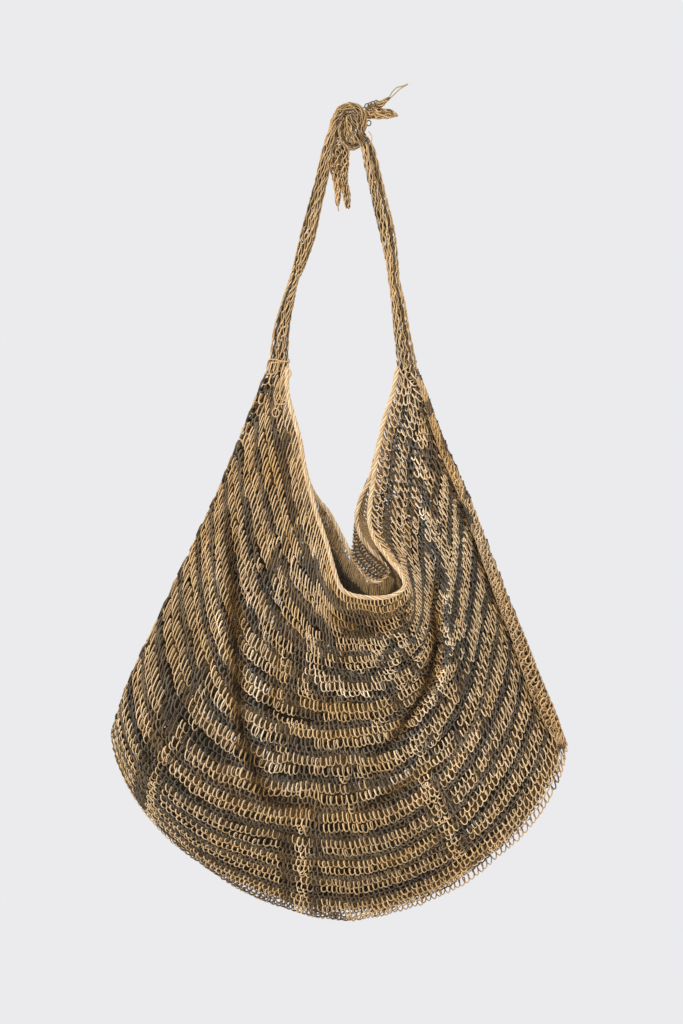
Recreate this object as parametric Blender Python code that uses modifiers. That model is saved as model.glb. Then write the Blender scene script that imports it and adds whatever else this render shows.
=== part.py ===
"""Bilum: a looped string bag of bast yarn, hanging empty from its knotted strap.

Metres, +Z up, the bag's face towards -Y. The origin is the point that a hook would hold: the inner top of
the strap's loop, just under the knot. Tables are in millimetres, as a maker would note them.
"""
import math

import bmesh
import bpy
import numpy as np
from mathutils import Vector

MM = 0.001
GAP = 0.3                # clearance between neighbouring pieces, mm

# ---------------------------------------------------------------- driving dimensions (mm)
WALL = 2.4               # thickness of the looped fabric
EDGE_HALF = 4.5          # half depth of the bag where front and back meet at a side
EDGE_SHARE = 0.015       # share of a course taken by the rounded side edge
BOTTOM_SHARE = 0.985     # depth of the last full course; the rest is the rounded bottom edge
FIRST_LOW = 0.20         # share at which courses stop following the mouth edge
BELLY_FULLNESS = 0.7     # how evenly a layer bellies along its course (1 a plain arch, less is fuller)
FOLDS_FULL = 0.12        # share down at which the folds have reached their full depth
BACK_LOW_SHIFT = 10.0    # the back's courses hang lowest this far to the right of the front's
BACK_FULLER = 1.04       # and are this much fuller
BINDING_RADIUS = 3.0     # cord along the mouth edge
BINDING_OFFSET = 5.0     # the net's first course lies this far outside the cord's middle
STRAP_FOOT = -256.2      # height at which the straps meet the bag
YARN_RADIUS = 0.9        # joining yarn
YARN_CLEARANCE = 0.6     # between the joining yarn and the strap that it holds
YARN_RISE = 6.0          # height of the joining yarn above the strap's foot
YARN_SLANT = 1.5         # how far its turn climbs and falls

# ---------------------------------------------------------------- fineness
COLUMNS = 35             # columns of the bag's solid along a course
ROWS = 18                # rows of the bag's solid from mouth to bottom
DENSE = 241              # points worked out along each course
QUARTER = 90             # points worked out along each half of a hanging course
FOLD_POINTS = 61         # points worked out along each fold's line
CURVE_STEPS = 12         # steps between two given points of a smooth route
BINDING_POINTS = 76
STRAP_SECTIONS = 24
STRAP_SIDES = 14
TURN_SECTIONS = 11       # sections of a turn of the knot
TAIL_SECTIONS = 9
KNOT_SIDES = 12          # sides of the knot's turns and the free ends
YARN_POINTS = 20

# Courses of loops hang like hammocks from the left side to the right side. Each row is one course:
# share of the way from mouth to bottom, where it leaves the left side, its lowest point, where it meets
# the right side, and how full its two halves are (1 straight, 2 round, more is squarer).
COURSES = np.array([
    # share  left_x  left_z   low_x  low_z   right_x right_z  left_full right_full
    (0.20, -123.6, -312.0, -12.0, -598.0, 91.0, -312.0, 1.75, 4.0),
    (0.46, -168.0, -417.6, -12.0, -708.0, 138.0, -417.6, 2.40, 2.4),
    (0.66, -225.6, -537.6, -12.0, -801.6, 184.5, -537.6, 2.00, 2.0),
    (0.86, -276.0, -645.6, -12.0, -885.6, 227.5, -645.6, 1.75, 1.8),
    (1.00, -291.6, -699.6, -12.0, -922.8, 254.4, -709.2, 1.65, 1.62),
])

# Mouth edges, from the left strap to the right strap: x, z, and depth in front of (-) or behind (+) the
# bag's middle. The right arm of each edge curls back in a hook, where the rim sags inwards.
FRONT_RIM = [
    (-81.5, -262.0, -6.0), (-81.0, -290.0, -7.0), (-74.0, -317.0, -9.0), (-66.0, -346.0, -11.0),
    (-60.0, -381.0, -13.0), (-54.0, -405.0, -15.0), (-47.0, -431.0, -18.0), (-35.0, -466.0, -21.0),
    (-26.0, -498.0, -24.0), (-19.0, -519.0, -26.0), (-7.0, -530.0, -27.0), (20.0, -534.5, -28.0),
    (44.0, -532.0, -29.0), (59.0, -521.0, -30.0), (54.0, -505.0, -28.0), (38.0, -485.0, -25.0),
    (22.0, -462.0, -21.0), (17.0, -438.0, -18.0), (19.5, -412.0, -15.0), (25.0, -372.0, -12.0),
    (34.0, -325.0, -9.0), (45.0, -290.0, -7.0), (50.5, -262.0, -6.0),
]
BACK_RIM = [
    (-81.5, -262.0, 6.0), (-81.0, -290.0, 8.0), (-74.0, -317.0, 10.0), (-66.0, -346.0, 12.0),
    (-60.0, -381.0, 14.0), (-50.0, -409.0, 16.0), (-31.0, -434.0, 18.0), (-19.0, -456.0, 19.0),
    (-6.0, -481.0, 19.0), (8.0, -503.0, 18.0), (22.0, -516.0, 17.0), (35.0, -512.0, 15.0),
    (41.0, -501.0, 13.0), (32.0, -490.0, 12.0), (17.0, -475.0, 11.0), (6.0, -458.0, 10.0),
    (2.0, -438.0, 10.0), (8.0, -413.0, 11.0), (18.0, -393.0, 11.0), (27.0, -356.0, 10.0),
    (36.0, -322.0, 9.0), (45.0, -290.0, 8.0), (50.5, -262.0, 6.0),
]
# Columns of loops fan out round the hooks: share along the course, and share along the mouth edge.
FRONT_FAN = np.array([(0.0, 0.0), (0.45, 0.44), (0.62, 0.575), (0.73, 0.64), (0.81, 0.72), (1.0, 1.0)])
BACK_FAN = np.array([(0.0, 0.0), (0.45, 0.44), (0.62, 0.555), (0.72, 0.62), (0.81, 0.71), (1.0, 1.0)])
LEFT_CORNER = (-103.0, -257.0)       # outer end of the mouth edge, under the left strap
RIGHT_CORNER = (74.4, -257.0)

# How far the middle of each layer bellies out from the sides: share, front, back.
BELLY = np.array([
    (0.00, 14.0, 10.0),
    (0.20, 24.0, 20.0),
    (0.46, 36.0, 30.0),
    (0.66, 38.0, 32.0),
    (0.86, 24.0, 22.0),
    (1.00, 3.0, 3.0),
])

# Main folds: three points on the line, half width, and depth (+ a trough, - a ridge, as seen from
# outside the layer), fading to nothing at both ends.
FRONT_FOLDS = [
    # start             middle            end               width depth
    ((-144, -455), (-132, -690), (-40, -792), 11, 13),     # long trough down the left
    ((-166, -450), (-158, -640), (-140, -760), 12, -7),    # its outer bank
    ((-118, -520), (-112, -690), (-40, -765), 12, -8),     # its inner bank
    ((90, -500), (90, -620), (22, -716), 9, 13),           # curved trough right of the mouth
    ((108, -520), (104, -640), (40, -738), 11, -7),        # its outer bank
    ((-86, -300), (-78, -420), (-62, -500), 7, 5),         # crease beside the left rim
    ((-30, -560), (4, -592), (46, -556), 11, 9),           # sag under the mouth
    ((-62, -590), (0, -640), (66, -598), 11, -5),          # first hanging swag
    ((-20, -770), (40, -752), (84, -716), 8, -5),          # low ridge right of the middle
    ((66, -320), (84, -450), (104, -520), 9, -4),          # ridge below the right strap
    ((84, -300), (162, -528), (226, -690), 6, 8),          # groove inside the rolled edge
    ((84, -282), (168, -512), (240, -700), 5, -7),         # the rolled edge
]
BACK_FOLDS = [
    ((-150, -480), (-120, -660), (-60, -780), 14, 9),
    ((-40, -600), (10, -650), (70, -600), 14, -6),
    ((90, -420), (120, -600), (90, -760), 14, 8),
    ((-230, -640), (-190, -740), (-90, -850), 12, -5),
    ((40, -760), (110, -740), (170, -660), 12, -5),
]

# Strap halves, from the foot up: x, z, y of the band's middle, its width and thickness, and its turn about
# its own length in degrees.
STRAP_LEFT = [
    (-91.5, STRAP_FOOT, 0.0, 23.0, 11.0, 0.0),
    (-88.0, -213.6, 0.0, 20.0, 11.0, 8.0),
    (-79.8, -177.6, -1.0, 15.6, 11.5, 25.0),
    (-73.6, -153.6, -1.0, 13.0, 11.5, 55.0),
    (-65.6, -132.0, 0.0, 15.6, 11.0, 20.0),
    (-56.4, -99.6, 1.0, 18.8, 10.5, 0.0),
    (-49.2, -69.6, 1.0, 17.0, 10.5, -8.0),
    (-40.2, -33.6, 0.0, 15.6, 10.5, -8.0),
    (-33.0, 2.0, -2.0, 13.5, 10.5, 0.0),
    (-26.5, 26.0, -3.0, 11.5, 10.5, 0.0),
]
STRAP_RIGHT = [
    (62.4, STRAP_FOOT, 0.0, 23.5, 11.0, 0.0),
    (56.0, -213.6, 0.0, 20.0, 11.0, -8.0),
    (51.0, -177.6, 1.0, 17.6, 11.0, -20.0),
    (46.8, -153.6, 1.0, 14.4, 11.5, -35.0),
    (45.0, -135.6, 0.0, 15.4, 11.0, -15.0),
    (39.4, -99.6, 0.0, 19.0, 10.5, 0.0),
    (32.4, -69.6, 0.0, 19.0, 10.5, 5.0),
    (24.0, -33.6, -1.0, 18.0, 10.5, 5.0),
    (16.4, 0.0, -2.0, 16.5, 10.5, 0.0),
    (13.0, 9.0, -2.0, 14.5, 10.0, 0.0),
]

# The knot's own turns of the band: x, z, y and radius along each. The arch comes up out of the left strap
# and over the top, the curl closes the knot below, the fan spreads from the middle into the right strap,
# and the last turn lies behind and shuts the eye of the knot.
KNOT_ARCH = [
    (-26.5, 26.5, -3.0, 5.6), (-23.8, 36.0, -4.0, 5.8), (-19.5, 45.5, -5.0, 6.0), (-13.0, 51.5, -6.0, 6.0),
    (-5.0, 53.4, -7.0, 6.0), (3.0, 50.6, -7.0, 6.0), (8.0, 43.0, -6.0, 6.0), (8.6, 33.0, -5.0, 5.8),
    (7.0, 23.0, -4.0, 5.0),
]
KNOT_CURL = [
    (-13.0, 38.0, -3.0, 5.0), (-15.0, 25.0, -5.0, 5.6), (-12.0, 13.5, -5.0, 5.8), (-4.0, 7.2, -4.0, 5.8),
    (4.0, 9.0, -2.0, 5.0),
]
KNOT_FAN = [
    (-10.0, 42.0, -1.0, 8.0), (-4.5, 31.0, -1.0, 10.5), (2.0, 20.5, -1.0, 10.5), (10.5, 9.5, -1.5, 7.8),
]
KNOT_BACK = [
    (-18.5, 33.0, 3.0, 6.5), (-11.0, 38.5, 4.1, 8.0), (-2.0, 40.0, 4.3, 8.2), (6.0, 37.0, 3.2, 7.0),
]

# Each turn, and whether its first and last sections are cut level.
KNOT_TURNS = {
    "arch": (KNOT_ARCH, (True, False)),
    "curl": (KNOT_CURL, (False, False)),
    "fan": (KNOT_FAN, (False, True)),
    "behind": (KNOT_BACK, (False, False)),
}

# Free ends of the straps, each with two tips: x, z, y, width and thickness of the band there.
TAIL_DOWN_LEFT = [
    (-15.5, 12.0, 4.0, 13.0, 9.0), (-18.0, -8.0, 4.0, 13.0, 8.0), (-19.5, -20.0, 4.0, 12.5, 8.0),
    (-18.5, -34.0, 3.0, 9.0, 7.5), (-19.5, -50.0, 2.0, 8.0, 6.5), (-20.0, -63.0, 2.0, 5.0, 4.5),
]
TAIL_DOWN_RIGHT = [
    (-12.0, 12.0, 4.0, 12.0, 9.0), (-12.5, -10.0, 4.0, 12.0, 8.5), (-13.0, -34.0, 3.0, 9.5, 8.0),
    (-10.5, -50.0, 2.0, 10.0, 8.0), (-8.0, -67.0, 2.0, 7.0, 6.0),
]
TAIL_SIDE_LEAF = [
    (9.0, 47.5, 3.0, 14.5, 8.0), (18.0, 47.0, 2.0, 15.0, 8.0), (28.0, 46.5, 0.0, 14.5, 7.5),
    (40.0, 46.0, -1.0, 13.0, 7.0), (50.5, 43.5, -2.0, 4.5, 4.0),
]
TAIL_SIDE_SPIKE = [
    (16.0, 51.0, 2.0, 11.0, 7.0), (24.0, 54.0, 1.0, 12.0, 7.0), (33.0, 59.0, 0.0, 8.0, 6.0),
    (41.0, 65.0, -1.0, 2.6, 2.6),
]

# Plain colours of the pieces (linear red, green, blue) and roughness.
FINISHES = {
    "net": ((0.33, 0.22, 0.12), 0.9),
    "tan_yarn": ((0.52, 0.36, 0.19), 0.85),
    "strap": ((0.40, 0.27, 0.15), 0.9),
}


# ---------------------------------------------------------------- routes and courses
def evenly(points, count):
    """Points at equal steps of length along a polyline."""
    steps = np.linalg.norm(np.diff(points, axis=0), axis=1)
    run = np.concatenate(([0.0], np.cumsum(steps)))
    wanted = np.linspace(0.0, run[-1], count)
    return np.stack([np.interp(wanted, run, column) for column in points.T], axis=1)


def smooth_route(points, count, closed=False):
    """Evenly spaced points on a smooth (Catmull-Rom) curve through the given ones."""
    knots = np.array(points, dtype=float)
    if closed:
        knots = np.vstack([knots[-1], knots, knots[:2]])
    else:
        knots = np.vstack([2 * knots[0] - knots[1], knots, 2 * knots[-1] - knots[-2]])
    t = np.linspace(0.0, 1.0, CURVE_STEPS, endpoint=False)[:, None]
    pieces = []
    for a, b, c, d in zip(knots, knots[1:], knots[2:], knots[3:]):
        bend = 2 * a - 5 * b + 4 * c - d
        twist = 3 * b - a - 3 * c + d
        pieces.append(0.5 * (2 * b + (c - a) * t + bend * t ** 2 + twist * t ** 3))
    dense = np.vstack(pieces + [knots[-2][None]])
    if closed:
        return evenly(dense, count + 1)[:-1]
    return evenly(dense, count)


def half_course(end, low, fullness):
    """One hanging half of a course, from the side down to the low point (a superellipse quarter)."""
    turn = np.linspace(0.0, math.pi / 2, QUARTER)
    across = np.cos(turn) ** (2 / fullness)
    down = np.sin(turn) ** (2 / fullness)
    x = low[0] + (end[0] - low[0]) * across
    z = end[1] + (low[1] - end[1]) * down
    return np.stack([x, z], axis=1)


def hanging_course(share, low_shift, fuller):
    """The course at this share of the way from mouth to bottom, as x, z by share of its length."""
    row = [np.interp(share, COURSES[:, 0], column) for column in COURSES.T]
    low = (row[3] + low_shift, row[4])
    left = half_course((row[1], row[2]), low, row[7] * fuller)
    right = half_course((row[5], row[6]), low, row[8] * fuller)
    return evenly(np.vstack([left, right[::-1][1:]]), DENSE)


def mouth_course(rim, fan):
    """The net's first course, just outside the binding cord, as x, z, y by share along the courses."""
    route = smooth_route(rim, DENSE)
    along = np.gradient(route[:, :2], axis=0)
    along /= np.linalg.norm(along, axis=1)[:, None]
    outward = np.stack([along[:, 1], -along[:, 0]], axis=1)
    edge = route.copy()
    edge[:, :2] += outward * BINDING_OFFSET
    depth = rim[0][2]
    left = [(*LEFT_CORNER, depth), (edge[0, 0], LEFT_CORNER[1], depth)]
    right = [(edge[-1, 0], RIGHT_CORNER[1], depth), (*RIGHT_CORNER, depth)]
    even = evenly(np.vstack([left, edge, right]), DENSE)
    shares = np.linspace(0.0, 1.0, DENSE)
    wanted = np.interp(shares, fan[:, 0], fan[:, 1])
    return np.stack([np.interp(wanted, shares, column) for column in even.T], axis=1)


# ---------------------------------------------------------------- the bag's surface
def ease(value):
    """0 to 1 with soft ends."""
    value = np.clip(value, 0.0, 1.0)
    return value * value * (3 - 2 * value)


def fold_line(start, middle, end, t):
    """The fold's line: a parabola that passes through its middle point."""
    start, middle, end = np.array(start), np.array(middle), np.array(end)
    pull = 2 * middle - 0.5 * (start + end)
    return (1 - t) ** 2 * start + 2 * t * (1 - t) * pull + t ** 2 * end


def fold_depth(folds, x, z):
    """Sum of the folds' troughs and ridges at each point."""
    total = np.zeros_like(x)
    t = np.linspace(0.0, 1.0, FOLD_POINTS)
    fade = np.sqrt(np.sin(math.pi * t))
    for start, middle, end, width, depth in folds:
        line = fold_line(start, middle, end, t[:, None])
        away = np.hypot(x[:, None] - line[:, 0], z[:, None] - line[:, 1])
        near = np.argmin(away, axis=1)
        nearest = away[np.arange(len(x)), near]
        total += depth * fade[near] * np.exp(-((nearest / width) ** 2))
    return total


class Layer:
    """One layer of the bag, front or back, as a surface over (share along a course, share down)."""

    def __init__(self, outside, rim, fan, belly_column, folds, low_shift=0.0, fuller=1.0):
        self.outside = outside                      # -1 faces the viewer, +1 faces away
        self.mouth = mouth_course(rim, fan)
        self.belly_column = belly_column
        self.folds = folds
        self.low_shift = low_shift
        self.fuller = fuller

    def course(self, down, along):
        """Points x, y, z in mm at these shares along the course this far down."""
        hung = hanging_course(max(down, FIRST_LOW), self.low_shift, self.fuller)
        shares = np.linspace(0.0, 1.0, DENSE)
        blend = min(down / FIRST_LOW, 1.0)
        x = np.interp(along, shares, (1 - blend) * self.mouth[:, 0] + blend * hung[:, 0])
        z = np.interp(along, shares, (1 - blend) * self.mouth[:, 1] + blend * hung[:, 1])
        rim_y = np.interp(along, shares, self.mouth[:, 2])
        belly = np.interp(down, BELLY[:, 0], BELLY[:, self.belly_column])
        out = EDGE_HALF + belly * np.sin(math.pi * along) ** BELLY_FULLNESS
        out -= fold_depth(self.folds, x, z) * ease(down / FOLDS_FULL)
        out = np.maximum(out, EDGE_HALF)
        settle = ease(blend)
        y = (1 - settle) * rim_y + settle * self.outside * out
        return np.stack([x, y, z], axis=1)


# ---------------------------------------------------------------- scene helpers
def start_scene(name):
    for old in list(bpy.data.objects):
        bpy.data.objects.remove(old, do_unlink=True)
    group = bpy.data.collections.new(name)
    bpy.context.scene.collection.children.link(group)
    return group


def finish(name):
    colour, roughness = FINISHES[name]
    material = bpy.data.materials.get(name) or bpy.data.materials.new(name)
    material.use_nodes = True
    shader = material.node_tree.nodes["Principled BSDF"]
    shader.inputs["Base Color"].default_value = (*colour, 1.0)
    shader.inputs["Roughness"].default_value = roughness
    shader.inputs["Metallic"].default_value = 0.0
    material.diffuse_color = (*colour, 1.0)
    return material


def add_object(name, data, material, group):
    item = bpy.data.objects.new(name, data)
    item.data.materials.append(finish(material))
    group.objects.link(item)
    return item


def mesh_from(name, points, faces):
    """A smooth-shaded mesh of points in mm."""
    mesh = bpy.data.meshes.new(name)
    mesh.from_pydata([tuple(float(c) * MM for c in point) for point in points], [], faces)
    mesh.validate()
    mesh.shade_smooth()
    return mesh


def loft(name, rings):
    """A closed solid through rings of equally many points, capped at both ends."""
    sides = len(rings[0])
    points = [point for ring in rings for point in ring]
    faces = []
    for k in range(len(rings) - 1):
        for i in range(sides):
            j = (i + 1) % sides
            faces.append((k * sides + i, k * sides + j, (k + 1) * sides + j, (k + 1) * sides + i))
    faces.append(tuple(range(sides)))
    faces.append(tuple((len(rings) - 1) * sides + i for i in reversed(range(sides))))
    mesh = mesh_from(name, points, faces)
    shape = bmesh.new()
    shape.from_mesh(mesh)
    bmesh.ops.recalc_face_normals(shape, faces=shape.faces)
    shape.to_mesh(mesh)
    shape.free()
    return mesh


def band_rings(stations, count, sides, grow=0.0, level_ends=(True, True)):
    """Oval sections along a band: stations of x, z, y, width, thickness and turn.

    A level end is cut square to the Z axis, so that two bands meet there face to face.
    """
    rows = smooth_route(stations, count)
    along = np.gradient(rows[:, :3], axis=0)
    for end, level in zip((0, -1), level_ends):
        if level:
            along[end] = (0.0, math.copysign(1.0, along[end][1]), 0.0)
    rings = []
    for (x, z, y, width, thickness, turn), (run_x, run_z, run_y) in zip(rows, along):
        forward = Vector((run_x, run_y, run_z)).normalized()
        across = Vector((forward.z, 0.0, -forward.x)).normalized()
        through = forward.cross(across)
        angle = math.radians(turn)
        wide = (across * math.cos(angle) + through * math.sin(angle)) * (width / 2 + grow)
        deep = (through * math.cos(angle) - across * math.sin(angle)) * (thickness / 2 + grow)
        middle = Vector((x, y, z))
        around = [2 * math.pi * i / sides for i in range(sides)]
        rings.append([middle + wide * math.cos(a) + deep * math.sin(a) for a in around])
    return rings


def turn_of_knot(name, turn, level_ends, grow=0.0):
    """One turn of the band in the knot, as a round solid."""
    stations = [(x, z, y, 2 * radius, 2 * radius, 0.0) for x, z, y, radius in turn]
    return loft(name, band_rings(stations, TURN_SECTIONS, KNOT_SIDES, grow, level_ends))


def hidden_tool(name, mesh, group):
    """A solid that only cuts or joins others."""
    tool = bpy.data.objects.new(name, mesh)
    tool.hide_render = True
    tool.display_type = "WIRE"
    group.objects.link(tool)
    return tool


def combine(item, tool, operation):
    step = item.modifiers.new(f"{operation.lower()}_{tool.name}", "BOOLEAN")
    step.operation = operation
    step.solver = "EXACT"
    step.object = tool


# ---------------------------------------------------------------- the pieces
def build_bag(group):
    """The net as a thin hollow shell: front and back layers, rounded sides and bottom, open mouth."""
    front = Layer(-1, FRONT_RIM, FRONT_FAN, 1, FRONT_FOLDS)
    back = Layer(1, BACK_RIM, BACK_FAN, 2, BACK_FOLDS, BACK_LOW_SHIFT, BACK_FULLER)
    along = np.linspace(EDGE_SHARE, 1.0 - EDGE_SHARE, COLUMNS)
    with_sides = np.concatenate(([0.0], along, [1.0]))
    points = []
    for down in np.linspace(0.0, BOTTOM_SHARE, ROWS):
        row = front.course(down, with_sides)
        row[0, 1] = 0.0
        row[-1, 1] = 0.0
        points.extend(row)
        points.extend(back.course(down, along)[::-1])
    around = 2 * COLUMNS + 2
    faces = []
    for k in range(ROWS - 1):
        for i in range(around):
            j = (i + 1) % around
            faces.append((k * around + i, (k + 1) * around + i, (k + 1) * around + j, k * around + j))
    # The rounded bottom: one middle row closes the last course of the front against that of the back.
    last = (ROWS - 1) * around
    bottom = len(points)
    points.extend(front.course(1.0, with_sides) * (1.0, 0.0, 1.0))
    for i in range(COLUMNS + 1):
        behind = (around - i) % around
        faces.append((last + i, bottom + i, bottom + i + 1, last + i + 1))
        faces.append((last + behind, last + around - i - 1, bottom + i + 1, bottom + i))
    bag = add_object("bag_body", mesh_from("bag_body", points, faces), "net", group)
    wall = bag.modifiers.new("fabric", "SOLIDIFY")
    wall.thickness = WALL * MM
    wall.offset = 0.0
    wall.use_even_offset = False


def closed_cord(name, route, radius, material, group):
    """A ring of cord along a closed route of x, y, z in mm."""
    curve = bpy.data.curves.new(name, "CURVE")
    curve.dimensions = "3D"
    curve.bevel_depth = radius * MM
    curve.bevel_resolution = 1
    curve.resolution_u = 1
    spline = curve.splines.new("POLY")
    spline.points.add(len(route) - 1)
    for point, place in zip(spline.points, route):
        point.co = (*(float(c) * MM for c in place), 1.0)
    spline.use_cyclic_u = True
    add_object(name, curve, material, group)


def build_binding(group):
    """One closed cord round the mouth: up the front edge's right arm and home along the back edge."""
    rims = [(x, y, z) for x, z, y in FRONT_RIM + BACK_RIM[::-1]]
    route = smooth_route(rims, BINDING_POINTS, closed=True)
    closed_cord("mouth_binding", route, BINDING_RADIUS, "tan_yarn", group)


def build_strap(name, stations, group):
    return add_object(name, loft(name, band_rings(stations, STRAP_SECTIONS, STRAP_SIDES)), "strap", group)


def build_knot(group, tools):
    """The knot's wound form, its turns joined into one solid."""
    knot = add_object("strap_knot", turn_of_knot("strap_knot", *KNOT_TURNS["arch"]), "strap", group)
    for name in ("curl", "fan", "behind"):
        combine(knot, hidden_tool(name, turn_of_knot(name, *KNOT_TURNS[name]), tools), "UNION")


def build_tail(name, tips, group, tools):
    """A free end with two tips, joined into one piece."""
    meshes = []
    for label, tip in zip((name, f"{name}_tip"), tips):
        stations = [(*row, 0.0) for row in tip]
        meshes.append(loft(label, band_rings(stations, TAIL_SECTIONS, KNOT_SIDES, level_ends=(False, False))))
    tail = add_object(name, meshes[0], "strap", group)
    combine(tail, hidden_tool(f"{name}_tip", meshes[1], tools), "UNION")
    return tail


def clear_of_knot(pieces, tools):
    """Trim straps and free ends back to a hair's breadth from the knot."""
    for name, turn in KNOT_TURNS.items():
        cutter = hidden_tool(f"clear_{name}", turn_of_knot(f"clear_{name}", *turn, GAP), tools)
        for piece in pieces:
            combine(piece, cutter, "DIFFERENCE")


def build_joining_yarn(group):
    """A turn of yarn round the foot of the left strap."""
    (x, z, y, width, thickness, _), above = STRAP_LEFT[:2]
    climb = YARN_RISE / (above[1] - z)
    middle_x = x + (above[0] - x) * climb
    clear = YARN_RADIUS + YARN_CLEARANCE
    route = []
    for i in range(YARN_POINTS):
        angle = 2 * math.pi * i / YARN_POINTS
        route.append((middle_x + (width / 2 + clear) * math.cos(angle),
                      y + (thickness / 2 + clear) * math.sin(angle),
                      z + YARN_RISE + YARN_SLANT * math.cos(angle)))
    closed_cord("joining_yarn", route, YARN_RADIUS, "tan_yarn", group)


def main():
    parts = start_scene("bilum_string_bag")
    tools = bpy.data.collections.new("tools")
    bpy.context.scene.collection.children.link(tools)
    build_bag(parts)
    build_binding(parts)
    left = build_strap("strap_left", STRAP_LEFT, parts)
    right = build_strap("strap_right", STRAP_RIGHT, parts)
    build_knot(parts, tools)
    down = build_tail("tail_down", (TAIL_DOWN_LEFT, TAIL_DOWN_RIGHT), parts, tools)
    side = build_tail("tail_side", (TAIL_SIDE_LEAF, TAIL_SIDE_SPIKE), parts, tools)
    clear_of_knot((left, right, down, side), tools)
    build_joining_yarn(parts)


main()
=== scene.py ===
# %% [markdown]
# # A looped string bag
#
# A bilum is looped by hand from yarn that is rolled on the thigh out of bast fibre. There is no cloth under
# the yarn: thousands of small loops, each hooked through the one above, are the whole bag. So this lesson
# never paints a net on a sheet. It builds the surface in which the bag hangs as an unseen guide, lets
# Geometry Nodes lay every loop of yarn on that guide, and turns the result into plain meshes.
#
# The imported model comes first. It fixes every size and place, and its solids stay in the physics while the
# yarn pieces below are what is seen. It fixes every size and place, and its solids stay in the scene, hidden
# where a yarn piece stands for them, while the yarn pieces below are what is seen.

# %% Load the imported model
import math

import bmesh
import bpy
import numpy as np
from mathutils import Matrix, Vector


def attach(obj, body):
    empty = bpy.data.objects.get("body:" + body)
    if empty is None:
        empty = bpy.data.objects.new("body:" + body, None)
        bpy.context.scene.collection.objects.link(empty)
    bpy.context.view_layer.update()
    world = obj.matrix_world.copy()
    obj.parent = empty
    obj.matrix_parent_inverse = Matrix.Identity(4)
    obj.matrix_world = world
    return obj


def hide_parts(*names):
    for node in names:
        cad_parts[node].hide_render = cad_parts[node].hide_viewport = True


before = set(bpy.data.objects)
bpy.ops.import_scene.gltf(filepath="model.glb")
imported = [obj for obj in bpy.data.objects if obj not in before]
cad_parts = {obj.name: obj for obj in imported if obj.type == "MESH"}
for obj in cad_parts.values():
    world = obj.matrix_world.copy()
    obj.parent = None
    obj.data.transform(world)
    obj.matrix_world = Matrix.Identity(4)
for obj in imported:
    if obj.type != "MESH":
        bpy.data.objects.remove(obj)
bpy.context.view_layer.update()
MM = 0.001

# %% [markdown]
# ## The form of the hanging bag
#
# The bag hangs folded flat, so it has a front and a back layer. Each course of loops leaves the left side,
# hangs like a hammock and comes back up to the right side, and the courses lie closer at the sides than in
# the middle. A superellipse makes a good hammock, and three short tables make the bag: where the courses
# leave the left side, how low they hang, and where they meet the right side. The outline and the mouth are
# those of the bag's solid, in millimetres, and in between the yarn lies within a few millimetres of it.

# %% The courses and the mouth, in millimetres
LEFT_ENDS = np.array([
    # share, x, z, fullness of the left half
    (0.304, -164.4, -409.2, 2.6), (0.375, -179.5, -441.6, 2.7), (0.446, -195.0, -474.0, 2.8),
    (0.518, -219.8, -525.6, 2.8), (0.589, -246.8, -583.2, 2.6), (0.661, -262.0, -615.6, 2.4),
    (0.732, -277.7, -651.6, 2.15), (0.800, -283.7, -672.0, 1.95), (0.900, -288.7, -687.6, 1.78),
    (1.000, -291.6, -699.6, 1.65),
])
LOW_POINTS = np.array([
    # share, x, z
    (0.304, -12.0, -637.0), (0.375, -12.0, -670.0), (0.446, -12.0, -700.0), (0.518, -12.0, -734.0),
    (0.589, -12.0, -766.0), (0.661, -12.0, -800.0), (0.732, -12.0, -831.0), (0.804, -12.0, -857.0),
    (0.875, -12.0, -881.0), (0.946, -12.0, -904.0), (1.000, -12.0, -922.8),
])
RIGHT_ENDS = np.array([
    # share, x, z, fullness of the right half
    (0.304, 112.0, -359.0, 3.6), (0.460, 138.0, -417.6, 2.6), (0.680, 184.5, -537.6, 2.1),
    (0.880, 227.5, -645.6, 1.8), (1.000, 254.4, -709.2, 1.62),
])
# Mouth edges from the left strap to the right strap: x, z, and depth in front (-) or behind (+).
FRONT_RIM = [
    (-81.5, -262.0, -6.0), (-81.0, -290.0, -7.0), (-74.0, -317.0, -9.0), (-66.0, -346.0, -11.0),
    (-60.0, -381.0, -13.0), (-54.0, -405.0, -15.0), (-47.0, -431.0, -18.0), (-35.0, -466.0, -21.0),
    (-26.0, -498.0, -24.0), (-19.0, -519.0, -26.0), (-7.0, -530.0, -27.0), (20.0, -534.5, -28.0),
    (44.0, -532.0, -29.0), (59.0, -521.0, -30.0), (54.0, -505.0, -28.0), (38.0, -485.0, -25.0),
    (22.0, -462.0, -21.0), (17.0, -438.0, -18.0), (19.5, -412.0, -15.0), (25.0, -372.0, -12.0),
    (34.0, -325.0, -9.0), (45.0, -290.0, -7.0), (50.5, -262.0, -6.0),
]
BACK_RIM = [
    (-81.5, -262.0, 6.0), (-81.0, -290.0, 8.0), (-74.0, -317.0, 10.0), (-66.0, -346.0, 12.0),
    (-60.0, -381.0, 14.0), (-50.0, -409.0, 16.0), (-31.0, -434.0, 18.0), (-19.0, -456.0, 19.0),
    (-6.0, -481.0, 19.0), (8.0, -503.0, 18.0), (22.0, -516.0, 17.0), (35.0, -512.0, 15.0),
    (41.0, -501.0, 13.0), (32.0, -490.0, 12.0), (17.0, -475.0, 11.0), (6.0, -458.0, 10.0),
    (2.0, -438.0, 10.0), (8.0, -413.0, 11.0), (18.0, -393.0, 11.0), (27.0, -356.0, 10.0),
    (36.0, -322.0, 9.0), (45.0, -290.0, 8.0), (50.5, -262.0, 6.0),
]
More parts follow.
